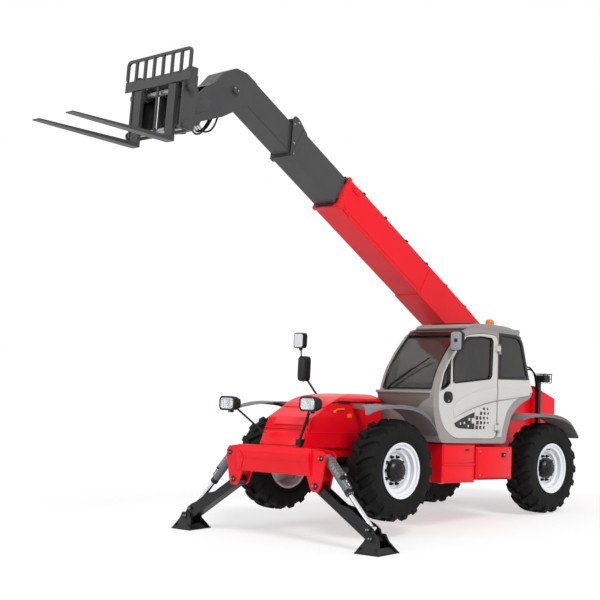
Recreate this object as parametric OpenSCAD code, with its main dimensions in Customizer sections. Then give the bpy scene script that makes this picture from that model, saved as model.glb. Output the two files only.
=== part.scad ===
// Telehandler with a three-section boom, pallet forks and front stabilisers.
// Millimetres. The front faces -Y, the cab side is +X and up is +Z.
// Everything is laid out level on the chassis, with Y counted back from the front axle.
// The stance module then lifts the nose, because the machine stands on its front feet.

/* [Stance] */
// Nose-up angle of the chassis on its front feet
pitch = 3.7; // [1:0.1:6]
// Boom angle above the chassis
boom_angle = 30.8; // [5:0.1:60]
// Fork angle above the chassis
fork_tilt = 3.5; // [-10:0.5:12]

/* [Wheels] */
// Distance between the axles
wheelbase = 3150; // [2900:10:3500]
// Half of the distance between the tyre centres
half_track = 950; // [930:5:1000]
// Tyre radius at the lug tips
tyre_r = 612; // [590:1:620]
// Tyre width
tyre_w = 400; // [360:5:410]
// Rim flange radius
rim_r = 335; // [325:1:350]
// Kingpin distance from the centre line
king_x = 720; // [700:5:735]
// Number of lugs on each half of a tyre
lug_count = 18; // [14:1:22]
// Height of a lug above the carcass
lug_h = 36; // [24:1:44]

/* [Boom] */
// Boom pivot distance behind the front axle
boom_pivot_y = 3350; // [3300:10:3450]
// Boom pivot height above the level ground
boom_pivot_z = 1830; // [1780:5:1900]
// Outer section width
outer_w = 400; // [380:2:420]
// Outer section height
outer_h = 430; // [420:2:450]
// Outer section length ahead of the pivot
outer_len = 4170; // [4100:10:4300]
// Middle section width
mid_w = 340; // [330:2:350]
// Middle section height
mid_h = 378; // [370:2:384]
// Inner section width
inner_w = 284; // [276:2:290]
// Inner section height
inner_h = 330; // [320:2:336]
// Length of the middle section that is out of the outer one
mid_out = 950; // [700:10:1100]
// Length of the inner section that is out of the middle one
inner_out = 850; // [700:10:1000]
// Boom plate thickness
boom_wall = 10; // [8:1:12]
// Sliding gap of a wear pad
slide_gap = 0.6; // [0.3:0.1:0.9]

/* [Forks] */
// Fork blade length
fork_len = 1300; // [1100:10:1400]
// Fork blade width
fork_w = 125; // [100:5:150]
// Fork thickness at the heel
fork_t = 50; // [40:1:60]
// Distance between the fork centres
fork_gap = 600; // [500:10:700]
// Load backrest width
rest_w = 1130; // [1000:10:1200]

/* [Cab] */
// Cab inner side
cab_in = 270; // [255:5:290]
// Cab outer side
cab_out = 1150; // [1130:5:1160]
// Cab wall and door thickness
wall = 45; // [35:1:50]
// Gap around the door and the hood
panel_gap = 6; // [5:0.5:8]
// Glass thickness
glass_t = 6; // [5:0.5:8]

/* [Stabilisers] */
// Leg pivot distance from the centre line
leg_x = 700; // [690:5:710]
// Leg pivot height on the chassis
leg_z = 420; // [400:5:440]
// Leg pivot distance ahead of the front axle
leg_y = 930; // [915:5:945]
// Foot pivot distance from the centre line
foot_x = 1580; // [1500:5:1620]
// Foot pivot height above the ground
foot_h = 165; // [150:1:180]
// Foot plate side
foot_w = 360; // [320:5:400]
// Leg box width along the machine
leg_w = 130; // [120:2:136]
// Leg box height
leg_h = 150; // [130:2:160]

/* [Rear] */
// Radius of the towing pin hole
tow_r = 16; // [14:0.5:20]

/* [Clearances] */
// Radial gap of a pin in its bore
pin_gap = 0.3; // [0.2:0.05:0.6]
// Side gap of a moving plate
side_gap = 6; // [5:0.5:8]

/* [Hidden] */
axle_z = tyre_r;
bead_r = rim_r - 17;
outer_mid_n = 83;
red = "#d0101c";
charcoal = "#58585a";
black = "#202022";
cab_grey = "#c9c5bd";
mid_grey = "#8d8a86";
silver = "#d6d8da";
steel = "#b8bbbf";
tint = "#30343a";
amber = "#e08a20";
$fn = 48;

// Chassis point of a boom point that lies a ahead of the pivot and n above it
function boom_y(a, n) = boom_pivot_y - a * cos(boom_angle) + n * sin(boom_angle);
function boom_z(a, n) = boom_pivot_z + a * sin(boom_angle) + n * cos(boom_angle);
// Ground point of a chassis point
function ground_y(y, z) = wheelbase + (y - wheelbase) * cos(pitch) + (z - axle_z) * sin(pitch);
function ground_z(y, z) = axle_z - (y - wheelbase) * sin(pitch) + (z - axle_z) * cos(pitch);

// Carriage pivot in boom and chassis coordinates
tilt_a = outer_len + mid_out + inner_out + 623;
tilt_n = -833;
tilt_y = boom_y(tilt_a, tilt_n);
tilt_z = boom_z(tilt_a, tilt_n);
// Tilt rod pin in boom coordinates
rod_a = tilt_a + 107;
rod_n = tilt_n + 333;
rod_slope = 36;
tilt_rod_r = 28;
// Fork tip and rear end, which set the middle of the length
fork_front = -360;
fork_low = -345;
tip_fwd = fork_front - fork_len;
tip_y = tilt_y + tip_fwd * cos(fork_tilt) + fork_low * sin(fork_tilt);
tip_z = tilt_z - tip_fwd * sin(fork_tilt) + fork_low * cos(fork_tilt);
rear_end = boom_pivot_y + 980;
rear_top = 1570;
// Front face of the rear weight, where the frame ends
weight_y = boom_pivot_y + 435;
y_mid = (ground_y(tip_y, tip_z) + ground_y(rear_end, rear_top)) / 2;
// Foot pivot height on the chassis
foot_z = axle_z + (foot_h - axle_z + (-leg_y - wheelbase) * sin(pitch)) / cos(pitch);
leg_drop = atan2(leg_z - foot_z, foot_x - leg_x);
leg_len = sqrt(pow(foot_x - leg_x, 2) + pow(leg_z - foot_z, 2));
// Stabiliser cylinder pins
cyl_x = leg_x + 80;
cyl_z = leg_z + 325;
eye_along = leg_len - 100;
eye_up = 50;
eye_x = leg_x + eye_along * cos(leg_drop) + eye_up * sin(leg_drop);
eye_z = leg_z - eye_along * sin(leg_drop) + eye_up * cos(leg_drop);
cyl_drop = atan2(cyl_z - eye_z, eye_x - cyl_x);
cyl_len = sqrt(pow(eye_x - cyl_x, 2) + pow(cyl_z - eye_z, 2));
// Leg folded up by this angle, and the cylinder's length then
leg_fold = 95;
fold_x = leg_x + eye_along * cos(leg_fold - leg_drop) - eye_up * sin(leg_fold - leg_drop);
fold_z = leg_z + eye_along * sin(leg_fold - leg_drop) + eye_up * cos(leg_fold - leg_drop);
fold_len = sqrt(pow(fold_x - cyl_x, 2) + pow(cyl_z - fold_z, 2));
barrel_end = fold_len - 46;
rod_in = 66 + cyl_len - fold_len;
// Barrel radius that fits into the open channel of the leg
barrel_r = leg_w / 2 - 12 - side_gap;
// Lift cylinder pins
lift_y = boom_pivot_y - 1500;
lift_z = 560;
lift_a = 600;
lift_n = -260;
lift_top_y = boom_y(lift_a, lift_n);
lift_top_z = boom_z(lift_a, lift_n);
lift_rise = atan2(lift_top_z - lift_z, lift_y - lift_top_y);
lift_len = sqrt(pow(lift_top_y - lift_y, 2) + pow(lift_top_z - lift_z, 2));
// Door hinge line
door_y = 1850;
hinge_x = cab_out + 22;
// Hood hinge line
hood_x = -315;
hood_z = 1330;

// Lifts the nose about the rear axle and centres the length
module stance() {
  translate([0, wheelbase - y_mid, axle_z])
    rotate([-pitch, 0, 0])
      translate([0, -wheelbase, -axle_z])
        children();
}

// Boom coordinates: forward is -Y and the origin is the boom pivot
module on_boom() {
  stance()
    translate([0, boom_pivot_y, boom_pivot_z])
      rotate([-boom_angle, 0, 0])
        children();
}

// Carriage coordinates: forward is -Y and the origin is the carriage pivot
module on_carriage() {
  stance()
    translate([0, tilt_y, tilt_z])
      rotate([-fork_tilt, 0, 0])
        children();
}

// Box between two corners
module box(low, high) {
  translate(low)
    cube(high - low);
}

// Box between two corners and its mirror image across the centre line
module box_pair(low, high) {
  box(low, high);
  mirror([1, 0, 0])
    box(low, high);
}

// Plate with a side outline in Y and Z, from x0 to x1
module side_plate(x0, x1, points) {
  translate([x0, 0, 0])
    rotate([90, 0, 90])
      linear_extrude(x1 - x0)
        polygon(points);
}

// Plate with a front outline in X and Z, from y0 to y1
module front_plate(y0, y1, points) {
  translate([0, y1, 0])
    rotate([90, 0, 0])
      linear_extrude(y1 - y0)
        polygon(points);
}

// Round bar along X
module bar_x(x0, x1, y, z, r) {
  translate([x0, y, z])
    rotate([0, 90, 0])
      cylinder(h = x1 - x0, r = r);
}

// Round bar along Y
module bar_y(y0, y1, x, z, r) {
  translate([x, y1, z])
    rotate([90, 0, 0])
      cylinder(h = y1 - y0, r = r);
}

// Round bar between two points
module bar(p, q, r) {
  d = q - p;
  translate(p)
    rotate([0, acos(d[2] / norm(d)), atan2(d[1], d[0])])
      cylinder(h = norm(d), r = r);
}

// Square bar of side w between two points
module square_bar(p, q, w) {
  d = q - p;
  translate(p)
    rotate([0, acos(d[2] / norm(d)), atan2(d[1], d[0])])
      translate([-w / 2, -w / 2, 0])
        cube([w, w, norm(d)]);
}

// Outline moved inwards by t; the points run anticlockwise
function unit(v) = v / norm(v);
function corner_in(a, b, c, t) =
  let (u = unit(b - a), w = unit(c - b), m = [-u[1], u[0]] + [-w[1], w[0]])
  b + m * t / (1 + u * w);
function inset(p, t) =
  [for (i = [0:len(p) - 1]) corner_in(p[(i + len(p) - 1) % len(p)], p[i], p[(i + 1) % len(p)], t)];

// Outline with rounded corners: each corner becomes a curve of n steps that starts d before it
function curve_corner(a, b, c, r, n) =
  let (u = unit(a - b), w = unit(c - b), d = min(r, 0.45 * norm(a - b), 0.45 * norm(c - b)))
  u * w < -0.995 ? [b] :
  [for (i = [0:n]) let (t = i / n) pow(1 - t, 2) * (b + u * d) + 2 * t * (1 - t) * b + pow(t, 2) * (b + w * d)];
function soft(p, r, n = 3) =
  [for (i = [0:len(p) - 1]) each curve_corner(p[(i + len(p) - 1) % len(p)], p[i], p[(i + 1) % len(p)], r, n)];

// Chassis

module frame_rail() {
  side_plate(250, 330, [[-820, 740], [560, 740], [760, 430], [2420, 430], [2620, 740], [weight_y, 740],
    [weight_y, 1000], [2900, 1000], [2600, 900], [400, 900], [100, 960], [-820, 900]]);
}

module boom_upright() {
  difference() {
    side_plate(270, 310, [[2900, 980], [weight_y, 980], [weight_y, 1745], [boom_pivot_y + 90, boom_pivot_z + 120],
      [boom_pivot_y - 90, boom_pivot_z + 120], [boom_pivot_y - 180, boom_pivot_z - 40]]);
    bar_x(200, 400, boom_pivot_y, boom_pivot_z, 60 + pin_gap);
  }
}

module chassis_frame() {
  color(red)
    stance()
      difference() {
        union() {
          frame_rail();
          boom_upright();
          mirror([1, 0, 0]) {
            frame_rail();
            boom_upright();
          }
          box([-290, -820, 760], [290, -760, 880]);
          box([-290, -140, 740], [290, 140, 800]);
          box([-290, 800, 430], [290, 860, 700]);
          box([-290, 2300, 430], [290, 2360, 700]);
          box([-290, wheelbase - 140, 740], [290, wheelbase + 140, 800]);
          box_pair([85 + side_gap, lift_y - 75, 500], [165 + side_gap, lift_y + 75, 640]);
          box_pair([100, lift_y - 40, 430], [290, lift_y + 40, 500]);
        }
        bar_x(-300, 300, lift_y, lift_z, 45 + pin_gap);
      }
}

// Front cross beam with the four lugs that carry the legs
module leg_lug(y0, y1) {
  difference() {
    front_plate(y0, y1, [[560, 520], [620, 380], [660, 350], [740, 350], [775, 400], [840, 700], [845, 770],
      [800, 825], [560, 850]]);
    bar_y(y0 - 5, y1 + 5, leg_x, leg_z, 30 + pin_gap);
    bar_y(y0 - 5, y1 + 5, cyl_x, cyl_z, 25 + pin_gap);
  }
}

module front_beam() {
  half = leg_w / 2 + side_gap;
  color(red)
    stance() {
      side_plate(-610, 610, [[-1050, 640], [-1030, 530], [-820, 530], [-820, 850], [-1030, 850], [-1070, 780]]);
      for (s = [0, 1])
        mirror([s, 0, 0]) {
          leg_lug(-leg_y - half - 25, -leg_y - half);
          leg_lug(-leg_y + half, -leg_y + half + 25);
        }
    }
}

nose_side = [[-920, 850], [330, 850], [470, 1000], [470, 1425], [-420, 1400], [-780, 1200]];

lid_front = soft([[-370, 1330], [370, 1330], [370, 1452], [230, 1515], [-230, 1515], [-370, 1452]], 90);
lid_side = soft([[-560, 1310], [480, 1310], [480, 1515], [60, 1515], [-250, 1478], [-470, 1385], [-560, 1330]], 110);

// Crowned lid on top of the nose
module nose_lid() {
  intersection() {
    front_plate(-560, 470, lid_front);
    side_plate(-400, 400, lid_side);
  }
}

module nose_cover() {
  color(red)
    stance()
      difference() {
        union() {
          side_plate(-370, 370, nose_side);
          box([-370, -830, 850], [370, -820, 900]);
          nose_lid();
        }
        side_plate(-355, 355, concat([[-895, 840], [600, 840], [600, 980], [455, 980]],
          [for (i = [3:5]) inset(nose_side, 15)[i]]));
      }
}

// Engine pod on the right side
module engine_housing() {
  color(red)
    stance() {
      difference() {
        box([-1140, 800, 470], [-335, 2350, 1140]);
        box([-1125, 815, 485], [-350, 2335, 1200]);
      }
      box([-350, 800, 600], [-330, 2350, 1300]);
      for (y = [1000, 2060]) {
        bar_y(y - 30, y + 120, hood_x, hood_z, 12);
        for (e = [y - 30, y + 96])
          box([-350, e, 1250], [hood_x + 14, e + 24, hood_z + 14]);
      }
    }
}

module engine_block() {
  color(charcoal)
    stance() {
      box([-950, 1000, 640], [-500, 2050, 1180]);
      box([-800, 1150, 1180], [-560, 1900, 1270]);
      for (y = [1080, 1900])
        box([-900, y, 485], [-560, y + 80, 650]);
    }
}

hood_front = [[-1140, 1140 + panel_gap], [-365, 1140 + panel_gap], [-350, 1440], [-480, 1485], [-860, 1485],
  [-1060, 1420], [-1140, 1290]];

module engine_hood() {
  color(red)
    stance() {
      difference() {
        front_plate(800, 2350, hood_front);
        front_plate(815, 2335, concat([[-1125, 1100], [-380, 1100]], [for (i = [2:6]) inset(hood_front, 15)[i]]));
      }
      for (y = [1000, 2060])
        difference() {
          union() {
            bar_y(y, y + 90, hood_x, hood_z, 22);
            box([-360, y, hood_z - 18], [hood_x, y + 90, hood_z + 18]);
          }
          bar_y(y - 5, y + 95, hood_x, hood_z, 12 + pin_gap);
        }
    }
}

// Boxes under the cab
module side_boxes() {
  color(red)
    stance() {
      box([340, 780, 450], [1120, 1440, 930]);
      box([340, 1446, 480], [1140, 2210, 900]);
      box([330, 1000, 560], [341, 1100, 700]);
      box([330, 1900, 560], [341, 2000, 700]);
    }
}

module rear_weight() {
  color(red)
    stance()
      difference() {
        union() {
          side_plate(-370, 370, [[weight_y, 520], [rear_end - 60, 520], [rear_end, 640], [rear_end, rear_top],
            [weight_y, 1745]]);
          box([-60, rear_end - 120, 560], [60, rear_end + 60, 600]);
        }
        translate([0, rear_end + 26, 550])
          cylinder(h = 60, r = tow_r);
      }
}

// Axle housing with a yoke at each end
module axle(y) {
  difference() {
    union() {
      bar_x(-king_x + 70, king_x - 70, y, axle_z, 85);
      translate([0, y, axle_z])
        rotate([90, 0, 0])
          translate([0, 0, -170])
            cylinder(h = 340, r = 125);
      box([-290, y - 100, axle_z + 60], [290, y + 100, 740]);
      for (s = [0, 1])
        mirror([s, 0, 0])
          for (z = [axle_z + 115, axle_z - 155]) {
            box([king_x - 110, y - 55, z], [king_x, y + 55, z + 40]);
            translate([king_x, y, z])
              cylinder(h = 40, r = 55);
            box([king_x - 110, y - 55, axle_z - 155], [king_x - 75, y + 55, axle_z + 155]);
          }
    }
    for (x = [-king_x, king_x])
      translate([x, y, axle_z - 160])
        cylinder(h = 320, r = 28 + pin_gap);
  }
}

module front_axle() {
  color(black)
    stance()
      axle(0);
}

module rear_axle() {
  color(black)
    stance()
      axle(wheelbase);
}

// Wheel pieces, for the side s (1 left, -1 right) and the axle at y

module knuckle(s, y) {
  translate([0, y, axle_z])
    mirror([s > 0 ? 0 : 1, 0, 0]) {
      translate([king_x, 0, -109])
        cylinder(h = 218, r = 60);
      translate([king_x, 0, -156])
        cylinder(h = 312, r = 28);
      bar_x(king_x, half_track + 90, 0, 0, 45);
      bar_x(king_x + 40, half_track - 60, 0, 0, 110);
      box([king_x - 12, 40, -106], [king_x + 34, 190, -74]);
    }
}

module rim(s, y) {
  translate([s * half_track, y, axle_z])
    rotate([0, s * 90, 0])
      difference() {
        rotate_extrude($fn = 72)
          polygon([[0, 30], [0, 150], [95, 150], [125, 120], [130, 60], [215, 50], [225, 90], [262, 100], [272, 150],
            [305, 158], [312, 180], [rim_r, 186], [rim_r, 176], [bead_r + 8, 166], [bead_r, 162], [bead_r, 100],
            [290, 60], [290, -60], [bead_r, -100], [bead_r, -162], [bead_r + 8, -166], [rim_r, -176], [rim_r, -186],
            [305, -180], [275, -110], [275, 30]]);
        translate([0, 0, -10])
          cylinder(h = 102, r = 45 + pin_gap);
      }
}

// One lug: a bar that runs back from the middle of the tread to the shoulder
module lug() {
  w = tyre_w / 2;
  low = tyre_r - lug_h - 30;
  rotate([90, 0, 90])
    translate([0, 0, low])
      linear_extrude(tyre_r - 5 - low)
        polygon([[-32, -14], [36, -14], [112, w - 66], [150, w - 8], [66, w - 8], [38, w - 66]]);
}

module tyre(s, y) {
  w = tyre_w / 2;
  bed = tyre_r - lug_h;
  translate([s * half_track, y, axle_z])
    rotate([0, s * 90, 0])
      difference() {
        union() {
          rotate_extrude($fn = 96)
            polygon([[bead_r + pin_gap, 98], [bead_r + pin_gap, 158], [rim_r + 6, 172], [420, w - 2], [480, w],
              [bed - 30, w - 22], [bed, w - 70], [bed, -w + 70], [bed - 30, -w + 22], [480, -w], [420, -w + 2],
              [rim_r + 6, -172], [bead_r + pin_gap, -158], [bead_r + pin_gap, -98], [300, -58], [300, 58]]);
          for (i = [0:lug_count - 1], h = [0, 1])
            mirror([0, 0, h])
              rotate([0, 0, s * (i + h / 2) * 360 / lug_count])
                lug();
        }
        // Rounded shoulders of the lugs
        for (h = [0, 1])
          mirror([0, 0, h])
            rotate_extrude($fn = 96)
              polygon([[tyre_r - 6, w - 60], [tyre_r + 40, w - 60], [tyre_r + 40, w + 20], [480, w + 20], [480, w + 1],
                [bed - 25, w - 8]]);
      }
}

// Mudguards

guard_front = [[-660, 1275], [-580, 1316], [-480, 1349], [-350, 1375], [-220, 1388], [-87, 1391], [40, 1388], [160, 1376],
  [270, 1352], [370, 1311], [460, 1255], [540, 1185], [600, 1110], [640, 1040]];
guard_rear = [[2400, 1255], [2480, 1287], [2580, 1315], [2700, 1334], [2830, 1343], [2953, 1346], [3080, 1343], [3210, 1334],
  [3330, 1316], [3440, 1288], [3540, 1244], [3620, 1185], [3690, 1110], [3745, 1030]];

// Sheet along a side path, with a lip that hangs from its outer edge
module guard(path, x0, x1) {
  under = [for (i = [len(path) - 1:-1:0]) path[i] - [0, 12]];
  lip = [for (i = [len(path) - 1:-1:0]) path[i] - [0, 46 - 34 * pow(2 * i / (len(path) - 1) - 1, 2)]];
  side_plate(x0, x1, concat(under, path));
  side_plate(x1 - 9, x1, concat(lip, path));
}

// Plan corner that is cut off a mudguard's free end; y is the end and d points inwards along it
module guard_corner(y, d) {
  translate([0, 0, 900])
    linear_extrude(700)
      polygon([[740, y - d * 20], [1130, y - d * 20], [1085, y + d * 35], [1010, y + d * 110], [900, y + d * 220],
        [800, y + d * 300], [740, y + d * 330]]);
}

module guard_pair() {
  difference() {
    guard(guard_front, 760, 1165);
    guard_corner(-660, 1);
  }
  guard(guard_rear, 760, 1165);
}

module fenders() {
  color(mid_grey)
    stance() {
      guard_pair();
      mirror([1, 0, 0])
        guard_pair();
      for (s = [0, 1])
        mirror([s, 0, 0]) {
          box([370, -60, 1330], [800, 0, 1386]);
          box([310, 3100, 1300], [800, 3160, 1334]);
        }
    }
}

// Cab

cab_side = soft([[700, 945], [2050, 945], [2075, 1080], [2160, 1305], [2350, 1460], [2655, 1570], [2548, 1818],
  [2400, 2270], [2300, 2385], [1290, 2402], [1060, 2335], [825, 2090], [640, 1844], [535, 1570], [560, 1300],
  [610, 1120]], 120);
door_side = soft([[965, 1005], [door_y - panel_gap, 1005], [door_y - panel_gap, 2335], [1497, 2345], [1130, 2295],
  [900, 2070], [705, 1800], [640, 1560], [660, 1320], [760, 1130]], 110);
main_window = soft([[930, 1690], [1720, 1775], [1735, 2290], [1500, 2300], [1190, 2262], [930, 1970]], 55);
front_window = soft([[690, 1590], [860, 1672], [860, 1945], [765, 1820]], 25);
rear_window = soft([[door_y + 45, 1795], [2490, 1815], [2340, 2275], [2240, 2325], [door_y + 45, 2340]], 45);

module cab_shell() {
  color(cab_grey)
    stance() {
      difference() {
        side_plate(cab_in, cab_out, cab_side);
        side_plate(cab_in + wall, cab_out - wall, inset(cab_side, wall));
        // Door opening
        side_plate(cab_out - wall - 1, cab_out + 1, inset(door_side, -panel_gap));
        // Windscreen
        box([cab_in + 55, 400, 1610], [cab_out - 55, 1200, 2300]);
        // Left and right rear side windows
        side_plate(cab_out - wall - 1, cab_out + 1, rear_window);
        side_plate(cab_in - 1, cab_in + wall + 1, [[800, 1690], [2440, 1720], [2300, 2260], [1200, 2290], [900, 2050]]);
        // Rear window
        box([cab_in + 70, 2330, 1800], [cab_out - 70, 2700, 2250]);
        // Roof opening
        box([cab_in + 60, 1330, 2300], [cab_out - 60, 2200, 2450]);
      }
      for (z = [1120, 2140]) {
        translate([hinge_x, door_y, z - 45])
          cylinder(h = 130, r = 9);
        translate([hinge_x, door_y, z - 45])
          cylinder(h = 35, r = 16);
        box([cab_out - 20, door_y + 2, z - 45], [hinge_x, door_y + 38, z - 10]);
      }
      for (y = [1200, 1900])
        box([cab_in + 5, y, 900], [330, y + 100, 946]);
    }
}

module cab_roof() {
  color(mid_grey)
    stance()
      difference() {
        side_plate(cab_in + 20, cab_out - 20, [[1240, 2370], [2320, 2360], [2350, 2400], [2340, 2440], [2190, 2440],
          [2110, 2459], [1980, 2470], [1700, 2475], [1450, 2468], [1310, 2452], [1220, 2425], [1205, 2400]]);
        // The roof lies on the shell
        side_plate(cab_in, cab_out, cab_side);
        box([cab_in + 110, 1380, 2300], [cab_out - 110, 2150, 2500]);
      }
}

module cab_glass() {
  color(tint)
    stance() {
      difference() {
        intersection() {
          difference() {
            side_plate(cab_in + 20, cab_out - 20, inset(cab_side, 12));
            side_plate(cab_in, cab_out, inset(cab_side, 12 + glass_t));
          }
          union() {
            box([cab_in + 55, 400, 1610], [cab_out - 55, 1200, 2300]);
            box([cab_in + 70, 2330, 1800], [cab_out - 70, 2700, 2250]);
          }
        }
      }
      side_plate(cab_out - 24, cab_out - 24 + glass_t, rear_window);
      side_plate(cab_in + 18, cab_in + 18 + glass_t, [[800, 1690], [2440, 1720], [2300, 2260], [1200, 2290], [900, 2050]]);
      side_plate(cab_in + 110, cab_out - 110, [[1380, 2430], [2150, 2430], [2150, 2424], [1380, 2424]]);
    }
}

module cab_door() {
  color(cab_grey)
    stance() {
      difference() {
        side_plate(cab_out - wall, cab_out, door_side);
        side_plate(cab_out - wall - 1, cab_out + 1, main_window);
        side_plate(cab_out - wall - 1, cab_out + 1, front_window);
      }
      for (z = [1120, 2140])
        difference() {
          union() {
            translate([hinge_x, door_y, z - 8])
              cylinder(h = 70, r = 16);
            box([cab_out - 6, door_y - 60, z - 8], [hinge_x, door_y - 2, z + 62]);
          }
          translate([hinge_x, door_y, z - 50])
            cylinder(h = 140, r = 9 + pin_gap);
        }
    }
}

module door_glass() {
  color(tint)
    stance() {
      side_plate(cab_out - 26, cab_out - 26 + glass_t, main_window);
      side_plate(cab_out - 26, cab_out - 26 + glass_t, front_window);
    }
}

module operator_seat() {
  color(black)
    stance() {
      box([510, 1500, 990], [910, 1900, 1180]);
      box([470, 1400, 1180], [950, 1950, 1320]);
      side_plate(480, 940, [[1860, 1310], [1960, 1310], [2120, 1960], [2030, 1980]]);
    }
}

module dash_console() {
  color(black)
    stance() {
      side_plate(cab_in + wall, cab_out - wall - 25, [[625, 1300], [760, 1300], [800, 1560], [700, 1600], [625, 1570]]);
      bar([710, 740, 1330], [710, 960, 1590], 35);
      translate([710, 960, 1590])
        rotate([atan2(220, 260), 0, 0]) {
          rotate_extrude()
            translate([170, 0])
              circle(r = 16, $fn = 24);
          for (a = [30, 150, 270])
            rotate([0, 0, a])
              box([0, -14, -8], [170, 14, 8]);
          cylinder(h = 24, r = 40, center = true);
        }
    }
}

module beacon() {
  color(amber)
    stance() {
      translate([700, 2260, 2440])
        cylinder(h = 60, r = 45);
      translate([700, 2260, 2500])
        rotate_extrude()
          polygon([[0, 0], [60, 0], [58, 50], [50, 72], [34, 86], [0, 92]]);
    }
}

// Lamp on a stalk
module stalk_lamp(foot, head) {
  square_bar(foot, head, 24);
  translate(head) {
    front_plate(-55, -20, soft([[-112, -66], [112, -66], [112, 64], [-112, 64]], 42));
    front_plate(-22, 45, soft([[-100, -56], [100, -56], [100, 54], [-100, 54]], 46));
  }
}

module headlamps() {
  color(black)
    stance() {
      stalk_lamp([-389, -812, 985], [-700, -1110, 1345]);
      stalk_lamp([330, -938, 920], [500, -920, 1368]);
      side_plate(290, 370, [[-960, 870], [-912, 870], [-880, 950], [-960, 950]]);
      box([-410, -840, 960], [-370, -770, 1030]);
    }
}

module mirrors() {
  color(black)
    stance() {
      box([-404, 160, 1340], [-370, 220, 1400]);
      bar([-390, 190, 1385], [-600, 100, 1690], 14);
      bar([-620, 60, 1650], [-660, 20, 2200], 9);
      front_plate(30, 110, soft([[-700, 1660], [-545, 1660], [-540, 1985], [-695, 1985]], 55));
      front_plate(-10, 60, soft([[-750, 2085], [-575, 2085], [-570, 2285], [-745, 2285]], 45));
      box([cab_out, 880, 2100], [cab_out + 22, 920, 2140]);
      bar([cab_out + 10, 900, 2120], [cab_out + 130, 810, 2190], 12);
      front_plate(780, 840, soft([[cab_out + 60, 2090], [cab_out + 225, 2090], [cab_out + 230, 2320], [cab_out + 65, 2320]], 40));
    }
}

module rear_lamps() {
  color(black)
    stance() {
      box([370, 3830, 1200], [430, 3890, 1900]);
      box([380, 3840, 1800], [520, 3980, 1900]);
      for (s = [0, 1])
        mirror([s, 0, 0])
          box([250, rear_end, 1310], [360, rear_end + 8, 1430]);
    }
}

// Boom

// Box section along the boom from a0 to a1
module boom_box(w, h, a0, a1) {
  box([-w / 2, -a1, outer_mid_n - h / 2], [w / 2, -a0, outer_mid_n + h / 2]);
}

module boom_outer() {
  w = outer_w / 2;
  color(red)
    on_boom()
      difference() {
        union() {
          boom_box(outer_w, outer_h, -300, outer_len);
          boom_box(outer_w + 20, outer_h + 20, 1150, 2250);
          bar_x(-w - 60, w + 60, 0, 0, 110);
          for (s = [0, 1])
            mirror([s, 0, 0])
              side_plate(52, 82, [[-lift_a - 130, outer_mid_n - outer_h / 2 + 5],
                [-lift_a + 130, outer_mid_n - outer_h / 2 + 5], [-lift_a + 60, lift_n - 60],
                [-lift_a - 60, lift_n - 60]]);
        }
        boom_box(outer_w - 2 * boom_wall, outer_h - 2 * boom_wall, -320, outer_len - 160);
        boom_box(mid_w + 2 * slide_gap, mid_h + 2 * slide_gap, 0, outer_len + 10);
      }
  color(steel)
    on_boom() {
      bar_x(-w - 112, w + 112, 0, 0, 60);
    }
}

module boom_mid() {
  front = outer_len + mid_out;
  top = outer_mid_n + mid_h / 2;
  color(charcoal)
    on_boom()
      difference() {
        union() {
          boom_box(mid_w, mid_h, 990, front);
          boom_box(mid_w + 30, mid_h + 30, front - 70, front - 10);
          for (s = [0, 1])
            mirror([s, 0, 0])
              side_plate(mid_w / 2 - 6, mid_w / 2 + 10, soft([[-front + 110, top - 120], [-front + 60, outer_mid_n],
                [-front + 10, 2 * outer_mid_n - top - 15], [-front - 25, 2 * outer_mid_n - top + 60],
                [-front - 190, top + 5], [-front - 200, top + 62], [-front - 120, top + 80], [-front + 110, top]], 35));
        }
        boom_box(mid_w - 2 * boom_wall, mid_h - 2 * boom_wall, 900, front - 160);
        boom_box(inner_w + 2 * slide_gap, inner_h + 2 * slide_gap, 900, front + 10);
      }
}

// Side outline of the gooseneck, in boom coordinates from the end of the inner tube
function neck(a, n) = [-(tilt_a - 623 + a), n];
neck_side = [neck(-250, outer_mid_n - inner_h / 2), neck(-250, outer_mid_n + inner_h / 2), neck(215, outer_mid_n + inner_h / 2),
  neck(360, 190), neck(485, 20), neck(525, -174), neck(600, -313), neck(690, -620), neck(715, -790), neck(690, -900),
  neck(610, -935), neck(530, -890), neck(440, -700), neck(220, -440), neck(0, -82)];

module boom_inner() {
  w = inner_w / 2;
  color(charcoal)
    on_boom()
      difference() {
        union() {
          boom_box(inner_w, inner_h, 1840, tilt_a - 873);
          side_plate(-w, w, neck_side);
          bar_x(-w - 22, w + 22, -tilt_a + 379, -48, 48);
        }
        boom_box(inner_w - 2 * boom_wall, inner_h - 2 * boom_wall, 1800, tilt_a - 860);
        side_plate(-w + 20, w - 20, [neck(-270, -50), neck(-270, 200), neck(200, 200), neck(340, 150), neck(450, 0),
          neck(490, -190), neck(640, -320), neck(700, -620), neck(440, -620), neck(240, -400), neck(40, -50)]);
        bar_x(-w - 10, w + 10, -tilt_a, tilt_n, 50 + pin_gap);
      }
  // Guide that carries the tilt rod between the walls of the gooseneck
  color(charcoal)
    on_boom()
      translate([0, -rod_a, rod_n])
        rotate([rod_slope, 0, 0])
          difference() {
            box([-w + 12, 285, -55], [w - 12, 385, 55]);
            bar_y(280, 390, 0, 0, tilt_rod_r + pin_gap);
          }
}

// Carriage

carriage_side = [[-140, -205], [-10, -170], [40, -60], [75, 0], [110, 180], [122, 371], [60, 450], [-3, 509],
  [-140, 509]];

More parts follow.
